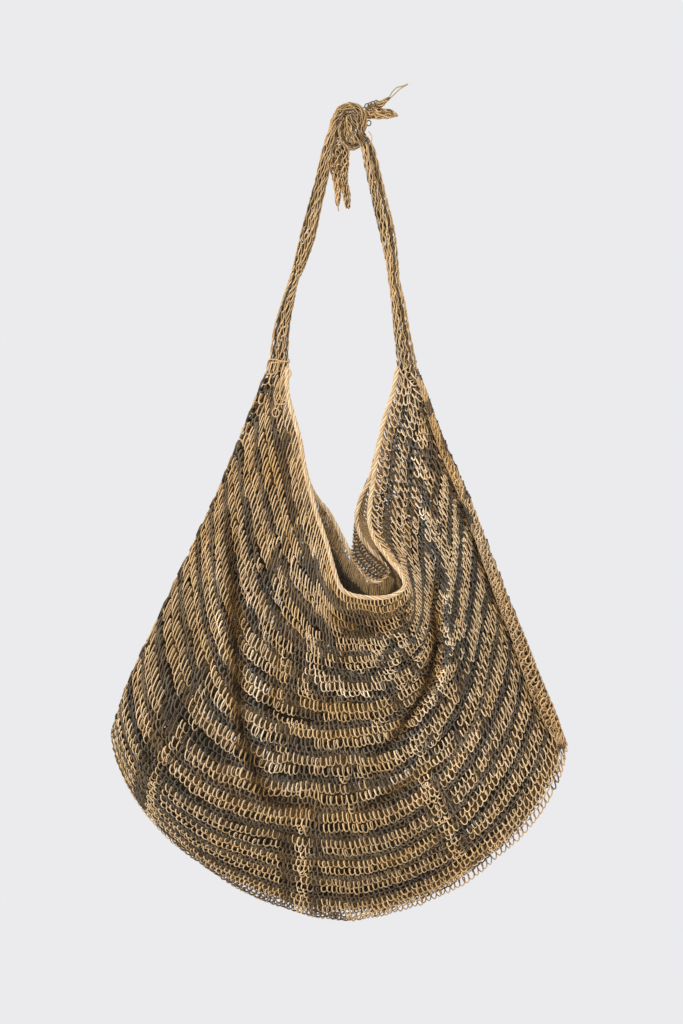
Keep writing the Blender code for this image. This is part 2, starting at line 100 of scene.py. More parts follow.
# How a course's loops are shared out along the mouth edge: share of the loops, share of the edge.
FRONT_FAN = np.array([(0.0, 0.0), (0.45, 0.44), (0.62, 0.575), (0.73, 0.64), (0.81, 0.72), (1.0, 1.0)])
BACK_FAN = np.array([(0.0, 0.0), (0.45, 0.44), (0.62, 0.555), (0.72, 0.62), (0.81, 0.71), (1.0, 1.0)])
LEFT_CORNER = (-103.0, -257.0)      # where the bag's top meets the straps: x, z
RIGHT_CORNER = (74.4, -257.0)
# How far the middle of each layer bellies out: share, front, back.
BELLY = np.array([
    (0.00, 14.0, 10.0), (0.20, 24.0, 20.0), (0.46, 36.0, 30.0),
    (0.66, 38.0, 32.0), (0.86, 24.0, 22.0), (1.00, 3.0, 3.0),
])

EDGE_HALF = 4.5          # half depth where front and back meet
CROSSING = 4.0           # how far the layers pass through each other at the edge, so that it closes
EDGE_SHARE = 0.015       # share of a course taken by the rounded side edge
BOTTOM_SHARE = 0.985     # below this the layers round in to meet
FIRST_LOW = 0.304        # share at which courses stop following the mouth edge
BELLY_FULLNESS = 0.7     # how squarely a layer bellies out across the bag
FOLDS_FULL = 0.12        # share down at which the folds have their full depth
BACK_LOW_SHIFT = 10.0    # how far right of the front's the back's low points hang
BACK_FULLER = 1.04       # how much fuller the back's courses hang
BINDING_RADIUS = 3.0
BINDING_OFFSET = 5.0     # from the binding cord's middle to the first course
DENSE = 241              # points worked out along each course
QUARTER = 90             # points worked out along half a course
CURVE_STEPS = 12         # points worked out between two given ones on a smooth route

# %% [markdown]
# ## Folds
#
# A net this soft gathers into folds where its weight hangs from the two straps. Each fold is one row: the
# points that its line passes through, a half width and a depth, positive for a trough and negative for a
# ridge. The two deep ones have a second, narrower row for the crease at their floor. They could come from a
# cloth simulation, but a simulated net would settle in folds of its own, so they are laid where this bag has
# them.

# %% The folds, in millimetres
FRONT_FOLDS = [
    # points on the line (x, z), half width, depth
    ([(-152, -430), (-146, -500), (-143, -560), (-139, -616), (-136, -664), (-130, -704), (-120, -730),
      (-110, -762), (-94, -777), (-70, -786), (-38, -791)], 7, 13),
    ([(-150, -470), (-145, -540), (-141, -600), (-138, -650), (-133, -694), (-122, -728), (-112, -756),
      (-96, -774), (-66, -786)], 3, 6),
    ([(-166, -470), (-162, -560), (-156, -640), (-148, -700), (-132, -744), (-112, -782)], 9, -6),
    ([(-126, -530), (-120, -616), (-116, -680), (-102, -722), (-78, -752), (-44, -768)], 9, -7),
    ([(92, -500), (96, -540), (97, -590), (90, -624), (78, -654), (54, -692), (36, -714), (20, -732)], 5, 12),
    ([(95, -560), (96, -600), (88, -630), (74, -662), (50, -697), (34, -716)], 2.6, 6),
    ([(108, -500), (111, -560), (110, -606), (100, -640), (86, -668), (60, -704), (40, -724)], 5, -8),
    ([(84, -724), (66, -738), (42, -754), (20, -770), (2, -780)], 4, -7),
    ([(88, -734), (68, -749), (44, -765), (20, -781), (0, -790)], 5, 7),
    ([(-86, -330), (-85, -372), (-82, -402), (-73, -430), (-76, -455), (-88, -490)], 5, 8),
    ([(-30, -556), (-8, -570), (20, -574), (50, -562)], 7, 8),
    ([(-14, -590), (-12, -610), (-20, -622)], 4, 5),
    ([(-62, -590), (-40, -632), (0, -652), (40, -640), (56, -600)], 8, -5),
    ([(-108, -560), (-104, -600), (-108, -640), (-104, -670)], 4, -4),
    ([(-94, -580), (-90, -620), (-96, -650), (-98, -680)], 4, 4),
    ([(-78, -800), (-82, -850), (-80, -896)], 6, 4),
    ([(-62, -790), (-62, -850), (-63, -905)], 5, -4),
    ([(66, -320), (76, -390), (88, -460), (102, -510)], 8, -5),
    ([(68, -370), (69, -430), (66, -480)], 3, 4),
    ([(78, -296), (90, -322), (103, -356), (115, -390), (136, -444), (155, -499), (173, -547), (194, -598),
      (212, -652), (221, -674), (236, -704)], 5, 10),
]
BACK_FOLDS = [
    ([(-150, -480), (-130, -580), (-110, -700), (-60, -780)], 14, 9),
    ([(-40, -600), (-14, -640), (30, -646), (70, -600)], 14, -6),
    ([(90, -420), (112, -520), (118, -620), (90, -760)], 14, 8),
    ([(-230, -640), (-196, -720), (-150, -796), (-90, -850)], 12, -5),
    ([(40, -760), (90, -752), (134, -716), (170, -660)], 12, -5),
    ([(-60, -560), (-50, -640), (-34, -720), (-10, -800)], 7, 3),
]


# %% Smooth routes and hanging courses
def evenly(points, count):
    """Points at equal steps of length along a polyline."""
    steps = np.linalg.norm(np.diff(points, axis=0), axis=1)
    run = np.concatenate(([0.0], np.cumsum(steps)))
    wanted = np.linspace(0.0, run[-1], count)
    return np.stack([np.interp(wanted, run, column) for column in points.T], axis=1)


def smooth_route(points, count, closed=False):
    """Evenly spaced points on a smooth (Catmull-Rom) curve through the given ones."""
    knots = np.array(points, dtype=float)
    if closed:
        knots = np.vstack([knots[-1], knots, knots[:2]])
    else:
        knots = np.vstack([2 * knots[0] - knots[1], knots, 2 * knots[-1] - knots[-2]])
    t = np.linspace(0.0, 1.0, CURVE_STEPS, endpoint=False)[:, None]
    pieces = []
    for a, b, c, d in zip(knots, knots[1:], knots[2:], knots[3:]):
        bend = 2 * a - 5 * b + 4 * c - d
        twist = 3 * b - a - 3 * c + d
        pieces.append(0.5 * (2 * b + (c - a) * t + bend * t ** 2 + twist * t ** 3))
    dense = np.vstack(pieces + [knots[-2][None]])
    if closed:
        return evenly(dense, count + 1)[:-1]
    return evenly(dense, count)


def route_length(points):
    """Length from point to point, whatever else a point's row holds after its place."""
    return float(np.linalg.norm(np.diff(np.array(points)[:, :3], axis=0), axis=1).sum())


def half_course(end, low, fullness):
    """One hanging half of a course, from the side down to the low point (a superellipse quarter)."""
    turn = np.linspace(0.0, math.pi / 2, QUARTER)
    x = low[0] + (end[0] - low[0]) * np.cos(turn) ** (2 / fullness)
    z = end[1] + (low[1] - end[1]) * np.sin(turn) ** (2 / fullness)
    return np.stack([x, z], axis=1)


def hanging_course(share, low_shift, fuller):
    """The course at this share of the way from mouth to bottom, as x, z by share of its length."""
    left, low, right = ([np.interp(share, table[:, 0], column) for column in table.T[1:]]
                        for table in (LEFT_ENDS, LOW_POINTS, RIGHT_ENDS))
    low = (low[0] + low_shift, low[1])
    left_half = half_course(left[:2], low, left[2] * fuller)
    right_half = half_course(right[:2], low, right[2] * fuller)
    return evenly(np.vstack([left_half, right_half[::-1][1:]]), DENSE)


def mouth_course(rim, fan, offset):
    """A course that follows the mouth edge, this far outside the binding cord's middle."""
    route = smooth_route(rim, DENSE)
    along = np.gradient(route[:, :2], axis=0)
    along /= np.linalg.norm(along, axis=1)[:, None]
    edge = route.copy()
    edge[:, 0] += along[:, 1] * offset
    edge[:, 1] -= along[:, 0] * offset
    depth = rim[0][2]
    lift = BINDING_OFFSET - offset
    left = [(LEFT_CORNER[0], LEFT_CORNER[1] + lift, depth), (edge[0, 0], LEFT_CORNER[1] + lift, depth)]
    right = [(edge[-1, 0], RIGHT_CORNER[1] + lift, depth), (RIGHT_CORNER[0], RIGHT_CORNER[1] + lift, depth)]
    even = evenly(np.vstack([left, edge, right]), DENSE)
    shares = np.linspace(0.0, 1.0, DENSE)
    wanted = np.interp(shares, fan[:, 0], fan[:, 1])
    return np.stack([np.interp(wanted, shares, column) for column in even.T], axis=1)


# %% [markdown]
# ## A layer as a surface
#
# A layer is a function of two shares: how far along a course, and how far down from the mouth. It returns a
# place. The rounded side edge and the rounded bottom come from a square root, which is what makes an edge
# look soft rather than cut.

# %% One layer of the bag
FOLD_POINTS = 61
# painted shade: a fold this deep is painted at its darkest
FOLD_FULL = 12.0         # a fold this deep is at its darkest, mm
LIP_SHARE = 0.0045       # above the first course this share reaches the binding cord's middle
WAVES = ((7.0, 3.1, 0.8), (4.3, 11.0, 0.7), (13.0, 6.0, 0.5))   # along, down, size in mm
WAVE_TURN = 6.3          # radians of one wave along a course
WAVE_SWAY = 5.0          # radians by which the waves shift from course to course


def ease(value):
    value = np.clip(value, 0.0, 1.0)
    return value * value * (3 - 2 * value)


def distance_to(line, x, z):
    """How far each point is from a line, and the nearest of the line's points."""
    away = np.hypot(x[:, None] - line[:, 0], z[:, None] - line[:, 1])
    near = np.argmin(away, axis=1)
    return away[np.arange(len(x)), near], near


def fold_depth(folds, x, z):
    """Sum of the folds' troughs and ridges at each point."""
    total = np.zeros_like(x)
    fade = np.sqrt(np.sin(math.pi * np.linspace(0.0, 1.0, FOLD_POINTS)))
    for points, width, depth in folds:
        nearest, near = distance_to(smooth_route(points, FOLD_POINTS), x, z)
        total += depth * fade[near] * np.exp(-((nearest / width) ** 2))
    return total


def rounding(share, width):
    """1 inside, falling to 0 at a rounded edge this wide."""
    return np.sqrt(np.clip(1 - (1 - np.clip(share / width, 0, 1)) ** 2, 0, 1))


class Layer:
    """Front or back of the bag, as a surface over (share along a course, share down)."""

    def __init__(self, outside, rim, fan, belly_column, folds, low_shift=0.0, fuller=1.0):
        self.outside = outside                      # -1 faces the viewer, +1 faces away
        self.mouth = mouth_course(rim, fan, BINDING_OFFSET)
        self.cord = mouth_course(rim, fan, 0.0)
        self.belly_column = belly_column
        self.folds = folds
        self.low_shift = low_shift
        self.fuller = fuller

    def course(self, down, along):
        """Points x, y, z in mm at these shares along the course this far down."""
        shares = np.linspace(0.0, 1.0, DENSE)
        inside = min(max(down, 0.0), 1.0)
        hung = hanging_course(max(inside, FIRST_LOW), self.low_shift, self.fuller)
        blend = min(inside / FIRST_LOW, 1.0)
        x = np.interp(along, shares, (1 - blend) * self.mouth[:, 0] + blend * hung[:, 0])
        z = np.interp(along, shares, (1 - blend) * self.mouth[:, 1] + blend * hung[:, 1])
        rim_y = np.interp(along, shares, self.mouth[:, 2])
        belly = np.interp(inside, BELLY[:, 0], BELLY[:, self.belly_column])
        arch = np.sin(math.pi * np.clip(along, 0, 1))
        out = EDGE_HALF + belly * arch ** BELLY_FULLNESS
        out -= fold_depth(self.folds, x, z) * ease(inside / FOLDS_FULL)
        for count_along, count_down, size in WAVES:
            sway = WAVE_SWAY * math.sin(count_down * inside)
            out += size * arch * np.sin(count_along * WAVE_TURN * along + sway)
        out = np.maximum(out, EDGE_HALF)
        settle = ease(blend)
        y = (1 - settle) * rim_y + settle * self.outside * out
        open_here = rounding(along, EDGE_SHARE) * rounding(1 - along, EDGE_SHARE)
        open_here *= rounding(1 - inside, 1 - BOTTOM_SHARE)
        y = y * open_here - self.outside * CROSSING * (1 - open_here)
        if down < 0:
            lip = np.stack([np.interp(along, shares, column) for column in self.cord.T], axis=1)
            pull = -down / LIP_SHARE
            x += (lip[:, 0] - x) * pull
            z += (lip[:, 1] - z) * pull
        return np.stack([x, y, z], axis=1)


front = Layer(-1, FRONT_RIM, FRONT_FAN, 1, FRONT_FOLDS)
back = Layer(1, BACK_RIM, BACK_FAN, 2, BACK_FOLDS, BACK_LOW_SHIFT, BACK_FULLER)
print("front, lowest course:", front.course(1.0, np.array([0.0, 0.5, 1.0])).round().tolist())

# %% [markdown]
# ## The dyer's plan
#
# Undyed tan yarn and yarn dyed brown or slate take turns, two courses of each. Where the maker changed yarn
# part of the way along a course, the stripes jump, and one jump under another draws a slanting band. So the
# pattern needs only the plain stripes, a few bands that cross them, and a few soft patches where the tan is
# more orange or the dye more brown, or where the yarn is lighter. Each row of the tables is one such band or
# patch.

# %% Bands and patches of the dye, in millimetres
TAN, DARK = 1.0, -1.0
FRONT_BANDS = [
    # yarn, half width, points (x, z); a later row lies over an earlier one
    # left side: a dark band, a tan one and a dark one that slant down to the edge
    (DARK, 8.6, [(-182, -626), (-193, -642), (-211, -668), (-227, -700), (-244, -722), (-252, -748),
                 (-256, -780)]),
    (DARK, 5.3, [(-224, -650), (-226, -672), (-222, -690)]),
    (TAN, 6.8, [(-182, -646), (-191, -676), (-212, -706), (-230, -737), (-241, -766), (-240, -800)]),
    (DARK, 3.8, [(-182, -694), (-202, -710), (-220, -730), (-229, -754), (-234, -776)]),
    # left of the mouth: long bands that run down into the nest below it
    (DARK, 4.3, [(-84, -345), (-84, -385), (-80, -404), (-72, -424), (-72, -442), (-77, -460),
                 (-86, -482)]),
    (DARK, 5.8, [(-86, -482), (-96, -496), (-105, -514), (-107, -532), (-97, -552), (-83, -573), (-68, -592),
                 (-61, -603)]),
    (TAN, 5.5, [(-94, -468), (-107, -480), (-115, -496), (-127, -506), (-131, -518), (-128, -534),
                (-119, -543), (-110, -558), (-102, -576), (-90, -592), (-82, -608)]),
    (TAN, 4.5, [(-67, -441), (-74, -460), (-82, -475), (-86, -489)]),
    (TAN, 5.5, [(-95, -514), (-90, -530), (-78, -550), (-66, -567), (-54, -584), (-47, -598)]),
    (DARK, 6.3, [(-85, -494), (-78, -514), (-66, -535), (-49, -559), (-35, -574), (-25, -588)]),
    (TAN, 6.5, [(-73, -495), (-62, -518), (-47, -542), (-30, -560), (-19, -576)]),
    (DARK, 7.3, [(-64, -458), (-58, -485), (-46, -507), (-30, -529), (-16, -548), (-2, -558)]),
    (TAN, 5.0, [(-55, -460), (-44, -479), (-34, -500), (-29, -514)]),
    # the nest: bands that hang one under another like bowls
    (DARK, 5.3, [(-61, -603), (-66, -618), (-72, -634), (-76, -650), (-70, -663), (-56, -673), (-34, -682),
                 (-6, -686), (18, -682)]),
    (TAN, 6.0, [(-47, -598), (-49, -616), (-58, -634), (-60, -650), (-42, -664), (-18, -671), (8, -672),
                (24, -662)]),
    (DARK, 3.3, [(-36, -592), (-36, -606), (-42, -622)]),
    (DARK, 5.3, [(-52, -630), (-42, -645), (-18, -655), (6, -660), (20, -654), (30, -644), (44, -638)]),
    (TAN, 6.0, [(-42, -620), (-25, -640), (-1, -646), (18, -642), (32, -632), (43, -618), (49, -598)]),
    (DARK, 6.8, [(-20, -614), (-11, -626), (6, -631), (23, -623), (37, -604), (48, -584)]),
    (TAN, 4.8, [(-16, -606), (-1, -616), (13, -616), (25, -605), (37, -587), (43, -564)]),
    (DARK, 5.3, [(6, -566), (14, -574), (24, -566)]),
    (DARK, 3.8, [(44, -553), (56, -556), (62, -570), (70, -584)]),
    (TAN, 4.5, [(52, -577), (62, -590), (74, -606), (84, -596)]),
    (DARK, 4.3, [(57, -598), (66, -612), (78, -622)]),
    (TAN, 4.5, [(46, -620), (56, -636), (66, -646), (74, -634)]),
    (DARK, 5.3, [(46, -652), (56, -666), (62, -678)]),
    # under the nest
    (TAN, 6.0, [(-98, -664), (-78, -682), (-50, -694), (-24, -700), (2, -698), (20, -691), (31, -677),
                (38, -656)]),
    (DARK, 3.8, [(-90, -686), (-70, -702), (-42, -710), (0, -712), (18, -706)]),
    (TAN, 4.5, [(-90, -712), (-76, -724), (-54, -730), (-20, -731), (-12, -748), (-10, -768), (-4, -786)]),
    (DARK, 4.8, [(-64, -740), (-44, -744), (-26, -743)]),
    (DARK, 3.8, [(-2, -738), (-2, -752), (2, -768)]),
    (TAN, 6.0, [(4, -745), (26, -734), (50, -720), (72, -706), (84, -690)]),
    (DARK, 3.8, [(14, -762), (34, -754), (60, -736), (76, -722)]),
    # right arm and right side: patches, slants and points
    (TAN, 7.0, [(60, -262), (66, -298), (69, -326)]),
    (DARK, 6.3, [(66, -338), (72, -350), (80, -364)]),
    (DARK, 3.3, [(84, -306), (90, -336), (98, -372), (102, -392)]),
    (TAN, 3.6, [(57, -330), (58, -400), (58, -490)]),
    (DARK, 2.3, [(66, -384), (68, -430), (66, -480)]),
    (TAN, 5.5, [(74, -366), (88, -392), (98, -416), (102, -440)]),
    (DARK, 4.1, [(74, -394), (86, -414), (97, -432)]),
    (TAN, 5.0, [(73, -424), (90, -446), (101, -468), (108, -503), (114, -534)]),
    (DARK, 4.8, [(77, -440), (82, -462), (96, -480), (104, -502), (109, -520)]),
    (DARK, 3.8, [(97, -366), (99, -396), (97, -414)]),
    (TAN, 4.5, [(106, -388), (107, -420), (107, -442)]),
    (DARK, 3.3, [(115, -388), (114, -430), (113, -466)]),
    (TAN, 5.0, [(120, -418), (118, -470), (115, -505), (114, -534)]),
    (DARK, 3.3, [(126, -420), (125, -480), (121, -536), (114, -574)]),
    (TAN, 4.5, [(132, -458), (133, -500), (128, -545), (125, -600)]),
    (DARK, 3.8, [(140, -466), (144, -503), (137, -545), (133, -601), (122, -644)]),
    (TAN, 4.5, [(151, -480), (149, -530), (144, -566), (141, -604)]),
    (DARK, 4.8, [(156, -498), (159, -520), (158, -536)]),
    (DARK, 2.9, [(105, -540), (114, -568), (123, -540)]),
    (TAN, 3.8, [(101, -552), (114, -589), (124, -560)]),
    (DARK, 3.1, [(101, -568), (114, -610), (124, -582)]),
    (TAN, 4.2, [(96, -604), (108, -644), (116, -612)]),
    (DARK, 3.8, [(95, -628), (98, -646), (108, -660)]),
    # the lower right: dark patches in a row, and a tan band between two dark ones
    (DARK, 4.3, [(90, -698), (92, -716), (88, -726)]),
    (TAN, 4.5, [(98, -676), (97, -700), (92, -712)]),
    (DARK, 4.3, [(122, -686), (122, -706)]), (DARK, 4.3, [(154, -680), (154, -698)]),
    (DARK, 4.8, [(184, -690), (184, -706)]), (DARK, 4.8, [(166, -716), (166, -736)]),
    (DARK, 3.3, [(136, -716), (150, -750)]),
    (TAN, 7.6, [(82, -724), (85, -754), (97, -778), (109, -802), (117, -826), (126, -850), (138, -872)]),
    (DARK, 5.3, [(99, -752), (112, -778), (125, -802), (132, -826)]),
    (DARK, 3.8, [(80, -786), (92, -798), (102, -816), (108, -842)]),
    (TAN, 8.0, [(0, -917), (60, -904), (110, -881), (160, -846), (200, -807), (230, -763), (247, -725)]),
    # the bottom: a tan column between two brown ones
    (DARK, 7.3, [(-84, -812), (-80, -838), (-79, -870), (-80, -900)]),
    (DARK, 5.3, [(-46, -782), (-44, -824), (-46, -856), (-47, -904)]),
    (TAN, 6.0, [(-62, -790), (-61, -820), (-62, -866), (-63, -910)]),
    # the top of the right arm
    (TAN, 9.0, [(60, -268), (66, -300), (75, -335)]),
]
BACK_BANDS = [
    # the same on the back
    (DARK, 7.0, [(190, -620), (225, -690), (240, -760)]),
    (TAN, 4.5, [(178, -640), (210, -705), (226, -775)]),
    (DARK, 7.0, [(-60, -540), (-96, -580), (-80, -640), (-100, -700)]),
    (TAN, 6.0, [(10, -790), (8, -850), (12, -905)]),
    (DARK, 6.0, [(26, -790), (24, -850), (28, -900)]),
]
PATCHES = [
    # x, z, half width, half height, warmth (+ more orange or brown, - paler or more slate)
    (-190, -440, 60, 120, 0.55),
    (-98, -384, 12, 26, 0.9),
    (-74, -556, 14, 30, 0.9),
    (-28, -486, 10, 40, 0.8),
    (-130, -520, 14, 40, -0.6),
    (-142, -620, 16, 120, 0.7),
    (-10, -668, 46, 14, 1.0),
    (-10, -700, 40, 10, 0.7),
    (30, -736, 30, 12, 0.8),
    (62, -300, 14, 60, -0.6),
    (96, -590, 10, 60, 0.8),
    (130, -520, 50, 110, -0.45),
    (0, -800, 110, 70, 0.2),
    (-20, -880, 120, 40, 0.3),
    (120, -840, 60, 50, 0.3),
    (-200, -760, 50, 60, -0.3),
    (20, -552, 44, 14, 0.7),
    (100, -350, 30, 60, 0.8),
    (160, -735, 85, 85, 0.75),
    (10, -620, 40, 24, -0.5),
    (-60, -520, 50, 50, -0.4),
]
LIGHT_PATCHES = [
    # x, z, half width, half height, and how much lighter (+) or darker (-) the front's yarn is there
    (150, -740, 95, 90, 0.6),
    (95, -360, 45, 90, 0.36),
    (-10, -700, 60, 40, 0.12),
    # painted shade: the yarn under the rim of the mouth is painted darker
    (20, -552, 44, 16, -0.2),
]
FEATHER = 1.5            # how softly a band ends, mm


def patched(patches, x, z):
    """The sum of soft round patches at each point."""
    total = np.zeros_like(x)
    for middle_x, middle_z, wide, high, size in patches:
        total += size * np.exp(-((x - middle_x) / wide) ** 2 - ((z - middle_z) / high) ** 2)
    return total


def dye_plan(bands, x, z):
    """Band (tan +1, dark -1, none 0) and warmth at each point."""
    band = np.zeros_like(x)
    for yarn, half_width, points in bands:
        away, _ = distance_to(smooth_route(points, FOLD_POINTS), x, z)
        share = np.clip((half_width - away) / FEATHER + 0.5, 0.0, 1.0)
        band = band * (1 - share) + yarn * share
    return band, patched(PATCHES, x, z)


# %% [markdown]
# ## Guides for the yarn
#
# A guide is a fine mesh with a UV map, where U is the share along the courses and V the share down. Geometry
# Nodes can ask it for the place at any U and V, so the loops need no other knowledge of the bag. The guide
# also carries which way is out, the dyer's plan with the folds' depth that is painted on the yarn as shade,
# and how far a loop must lean along its course to hang the way it is pulled. At the sides the courses run
# steeply, yet the loops still hang nearly straight down, so there they are drawn out along the course like
# the links of a chain. The guide is removed once the yarn is laid.

# %% Make a guide from rows of points
GUIDE_WIDE = 301
GUIDE_HIGH = 141
CROWDING = 0.16          # loops lie this much closer in the middle of a course than on average
U_MARGIN = 0.01          # how far a guide reaches past its shares 0 and 1
V_MARGIN = 0.012
TINY = 1e-9              # keeps a course that runs with the pull from dividing by nothing
NO_LENGTH = 1e-12        # keeps a vector of no length from doing the same
STEEPEST = 0.35          # a course closer to the pull than this (as a sine) no longer draws its loops out
OUTWARD_PULL = 0.50      # at the sides the loops hang this far out of plumb, as a slope
PLUMB_X = -30.0          # where they hang plumb, mm
PULL_REACH = 90.0        # mm from there to the full slope


def guide_mesh(name, rows, outward, u, v, plan=None, crease=None, pull=None):
    """A grid mesh over shares u and v. Rows are points in mm, outward and pull their directions."""
    points = np.asarray(rows) * MM
    high, wide = points.shape[:2]
    index = np.arange(high * wide).reshape(high, wide)
    quads = np.stack([index[:-1, :-1], index[1:, :-1], index[1:, 1:], index[:-1, 1:]], axis=-1)
    quads = quads.reshape(-1, 4)
    mesh = bpy.data.meshes.new(name)
    mesh.from_pydata(points.reshape(-1, 3).tolist(), [], quads.tolist())
    places = np.stack([np.tile(u, high), np.repeat(v, wide)], axis=1)[quads.reshape(-1)]
    mesh.uv_layers.new(name="shares").data.foreach_set("uv", places.astype(np.float32).ravel())
    none = np.zeros((high, wide))
    lean = none
    if pull is not None:
        lean = lean_along(np.gradient(points, u, axis=1), np.gradient(points, v, axis=0), pull)
    band, warmth = (none, none) if plan is None else plan
    hollow = none if crease is None else crease
    store(mesh, "outward", outward)
    # the plan holds the fold depth that is painted on the yarn as shade, then the band and the warmth
    store(mesh, "plan", np.stack([hollow, band, warmth], axis=-1))
    store(mesh, "lean", np.stack([lean, none, none], axis=-1))
    return mesh


def lean_along(across, down, pull):
    """How much share along goes with a share down, so that both together point the way of the pull."""
    def off_line(way):
        return way[:, :, 0] * pull[:, :, 2] - way[:, :, 2] * pull[:, :, 0]
    along_off = off_line(across)
    soft = (STEEPEST * np.linalg.norm(across, axis=2)) ** 2 + TINY
    return -off_line(down) * along_off / (along_off ** 2 + soft)


def store(mesh, name, vectors):
    layer = mesh.attributes.new(name, "FLOAT_VECTOR", "POINT")
    layer.data.foreach_set("vector", np.ascontiguousarray(vectors, dtype=np.float32).ravel())


def unit(vectors):
    return vectors / (np.linalg.norm(vectors, axis=-1, keepdims=True) + NO_LENGTH)


# %% The guides of the two layers
ALONG_SHARES = np.linspace(-U_MARGIN, 1 + U_MARGIN, GUIDE_WIDE)
DOWN_SHARES = np.concatenate(([-V_MARGIN, -LIP_SHARE / 2], np.linspace(0.0, 1.0, GUIDE_HIGH), [1 + V_MARGIN]))


def layer_guide(name, layer, bands, lighter=()):
    """The guide of one layer of the bag, with its rows of points in mm and which way is out at each."""
    along = ALONG_SHARES + CROWDING * np.sin(2 * math.pi * ALONG_SHARES) / (2 * math.pi)
    rows = [layer.course(down, along) for down in DOWN_SHARES[:-1]]
    rows.append(2 * rows[-1] - rows[-2])
    rows = np.array(rows)
    outward = -layer.outside * unit(np.cross(np.gradient(rows, axis=0), np.gradient(rows, axis=1)))
    shape = rows.shape[:2]
    flat_x, flat_z = rows[:, :, 0].ravel(), rows[:, :, 2].ravel()
    band, warmth = dye_plan(bands, flat_x, flat_z)
    # painted shade: the folds' depth is painted on the yarn as shade; the light patches paint it lighter or
    # darker
    crease = fold_depth(layer.folds, flat_x, flat_z) / FOLD_FULL - patched(lighter, flat_x, flat_z)
    slope = OUTWARD_PULL * np.clip((rows[:, :, 0] - PLUMB_X) / PULL_REACH, -1, 1)
    pull = np.stack([slope, 0 * slope, 0 * slope - 1], axis=-1)
    guide = guide_mesh(name, rows, outward, ALONG_SHARES, DOWN_SHARES,
                       (band.reshape(shape), warmth.reshape(shape)), crease.reshape(shape), pull)
    return guide, rows, outward


front_guide, front_rows, _ = layer_guide("front_guide", front, FRONT_BANDS, LIGHT_PATCHES)
back_guide, back_rows, back_outward = layer_guide("back_guide", back, BACK_BANDS)
lengths = np.linalg.norm(np.diff(front_rows, axis=1), axis=2).sum(axis=1)
print("front courses, mm long:", lengths[2::28].round().tolist())

# %% [markdown]
# ## Node sums as Python
#
# Both the yarn's path and its colour are sums over fields. Written as nodes one by one they can't be read, so
# one small class wraps a socket and lets Python's own signs add the Math nodes. `1 - mask` works because the
# reflected forms are there too. Anything that isn't a sum on numbers comes from `add`.

# %% A socket that can be added and multiplied
class Wire:
    def __init__(self, tree, socket=None):
        self.tree = tree
        self.socket = socket

    def add(self, kind, settings=None, values=None, take=None):
        """Adds a node: its settings first, then the values or links of its sockets. Returns one output."""
        node = self.tree.nodes.new(kind)
        for name, value in (settings or {}).items():
            setattr(node, name, value)
        for key, value in (values or {}).items():
            socket = node.inputs[key] if isinstance(key, int) else find(node.inputs, key)
            if isinstance(value, Wire):
                self.tree.links.new(value.socket, socket)
            else:
                socket.default_value = value
        return Wire(self.tree, node.outputs[0] if take is None else find(node.outputs, take))

    def sum(self, operation, *others):
        return self.add("ShaderNodeMath", {"operation": operation}, dict(enumerate((self, *others))))

    def __add__(self, other):
        return self.sum("ADD", other)

    __radd__ = __add__

    def __mul__(self, other):
        return self.sum("MULTIPLY", other)

    __rmul__ = __mul__

    def __sub__(self, other):
        return self.sum("SUBTRACT", other)

    def __rsub__(self, other):
        return self.add("ShaderNodeMath", {"operation": "SUBTRACT"}, {0: other, 1: self})

    def __truediv__(self, other):
        return self.sum("DIVIDE", other)

    def between(self, low, high):
        return self.sum("MAXIMUM", low).sum("MINIMUM", high)

    def vector(self, operation, other):
        return self.add("ShaderNodeVectorMath", {"operation": operation}, {0: self, 1: other})

    def scaled(self, amount):
        return self.add("ShaderNodeVectorMath", {"operation": "SCALE"}, {0: self, "Scale": amount})

    def parts(self):
        """The three numbers of a vector."""
        split = self.add("ShaderNodeSeparateXYZ", values={0: self})
        return [Wire(self.tree, socket) for socket in split.socket.node.outputs]

    def joined(self, x=0.0, y=0.0, z=0.0):
        return self.add("ShaderNodeCombineXYZ", values={0: x, 1: y, 2: z})


def find(sockets, key):
    """The socket in use that has this name or identifier."""
    return next(s for s in sockets if s.enabled and key in (s.name, s.identifier))


# %% [markdown]
# ## How a loop is laid
#
# The maker leads the yarn over the loop above, down, round, and back up across itself. Seen from the front,
# that path is a wave whose bottoms swing wide and whose tops double back, and it passes in front on its way
# down and behind on its way up. Three waves say most of it:
#
# - along the course: `t - swing * sin(turn)`
# - down the bag: `-height * cos(turn)`, a little flattened at the top and the bottom
# - towards the viewer: `depth * sin(turn)`
#
# Every second course starts half a loop later, so that each loop hangs between two of the course above. Fine
# noise along the yarn keeps any two loops from being the same, and slow noise lets whole stretches of the net
# drift. Instancing one modelled loop would repeat it exactly and break the yarn at every joint, so the tree
# makes long rows of points instead and turns each row into one unbroken tube of yarn.

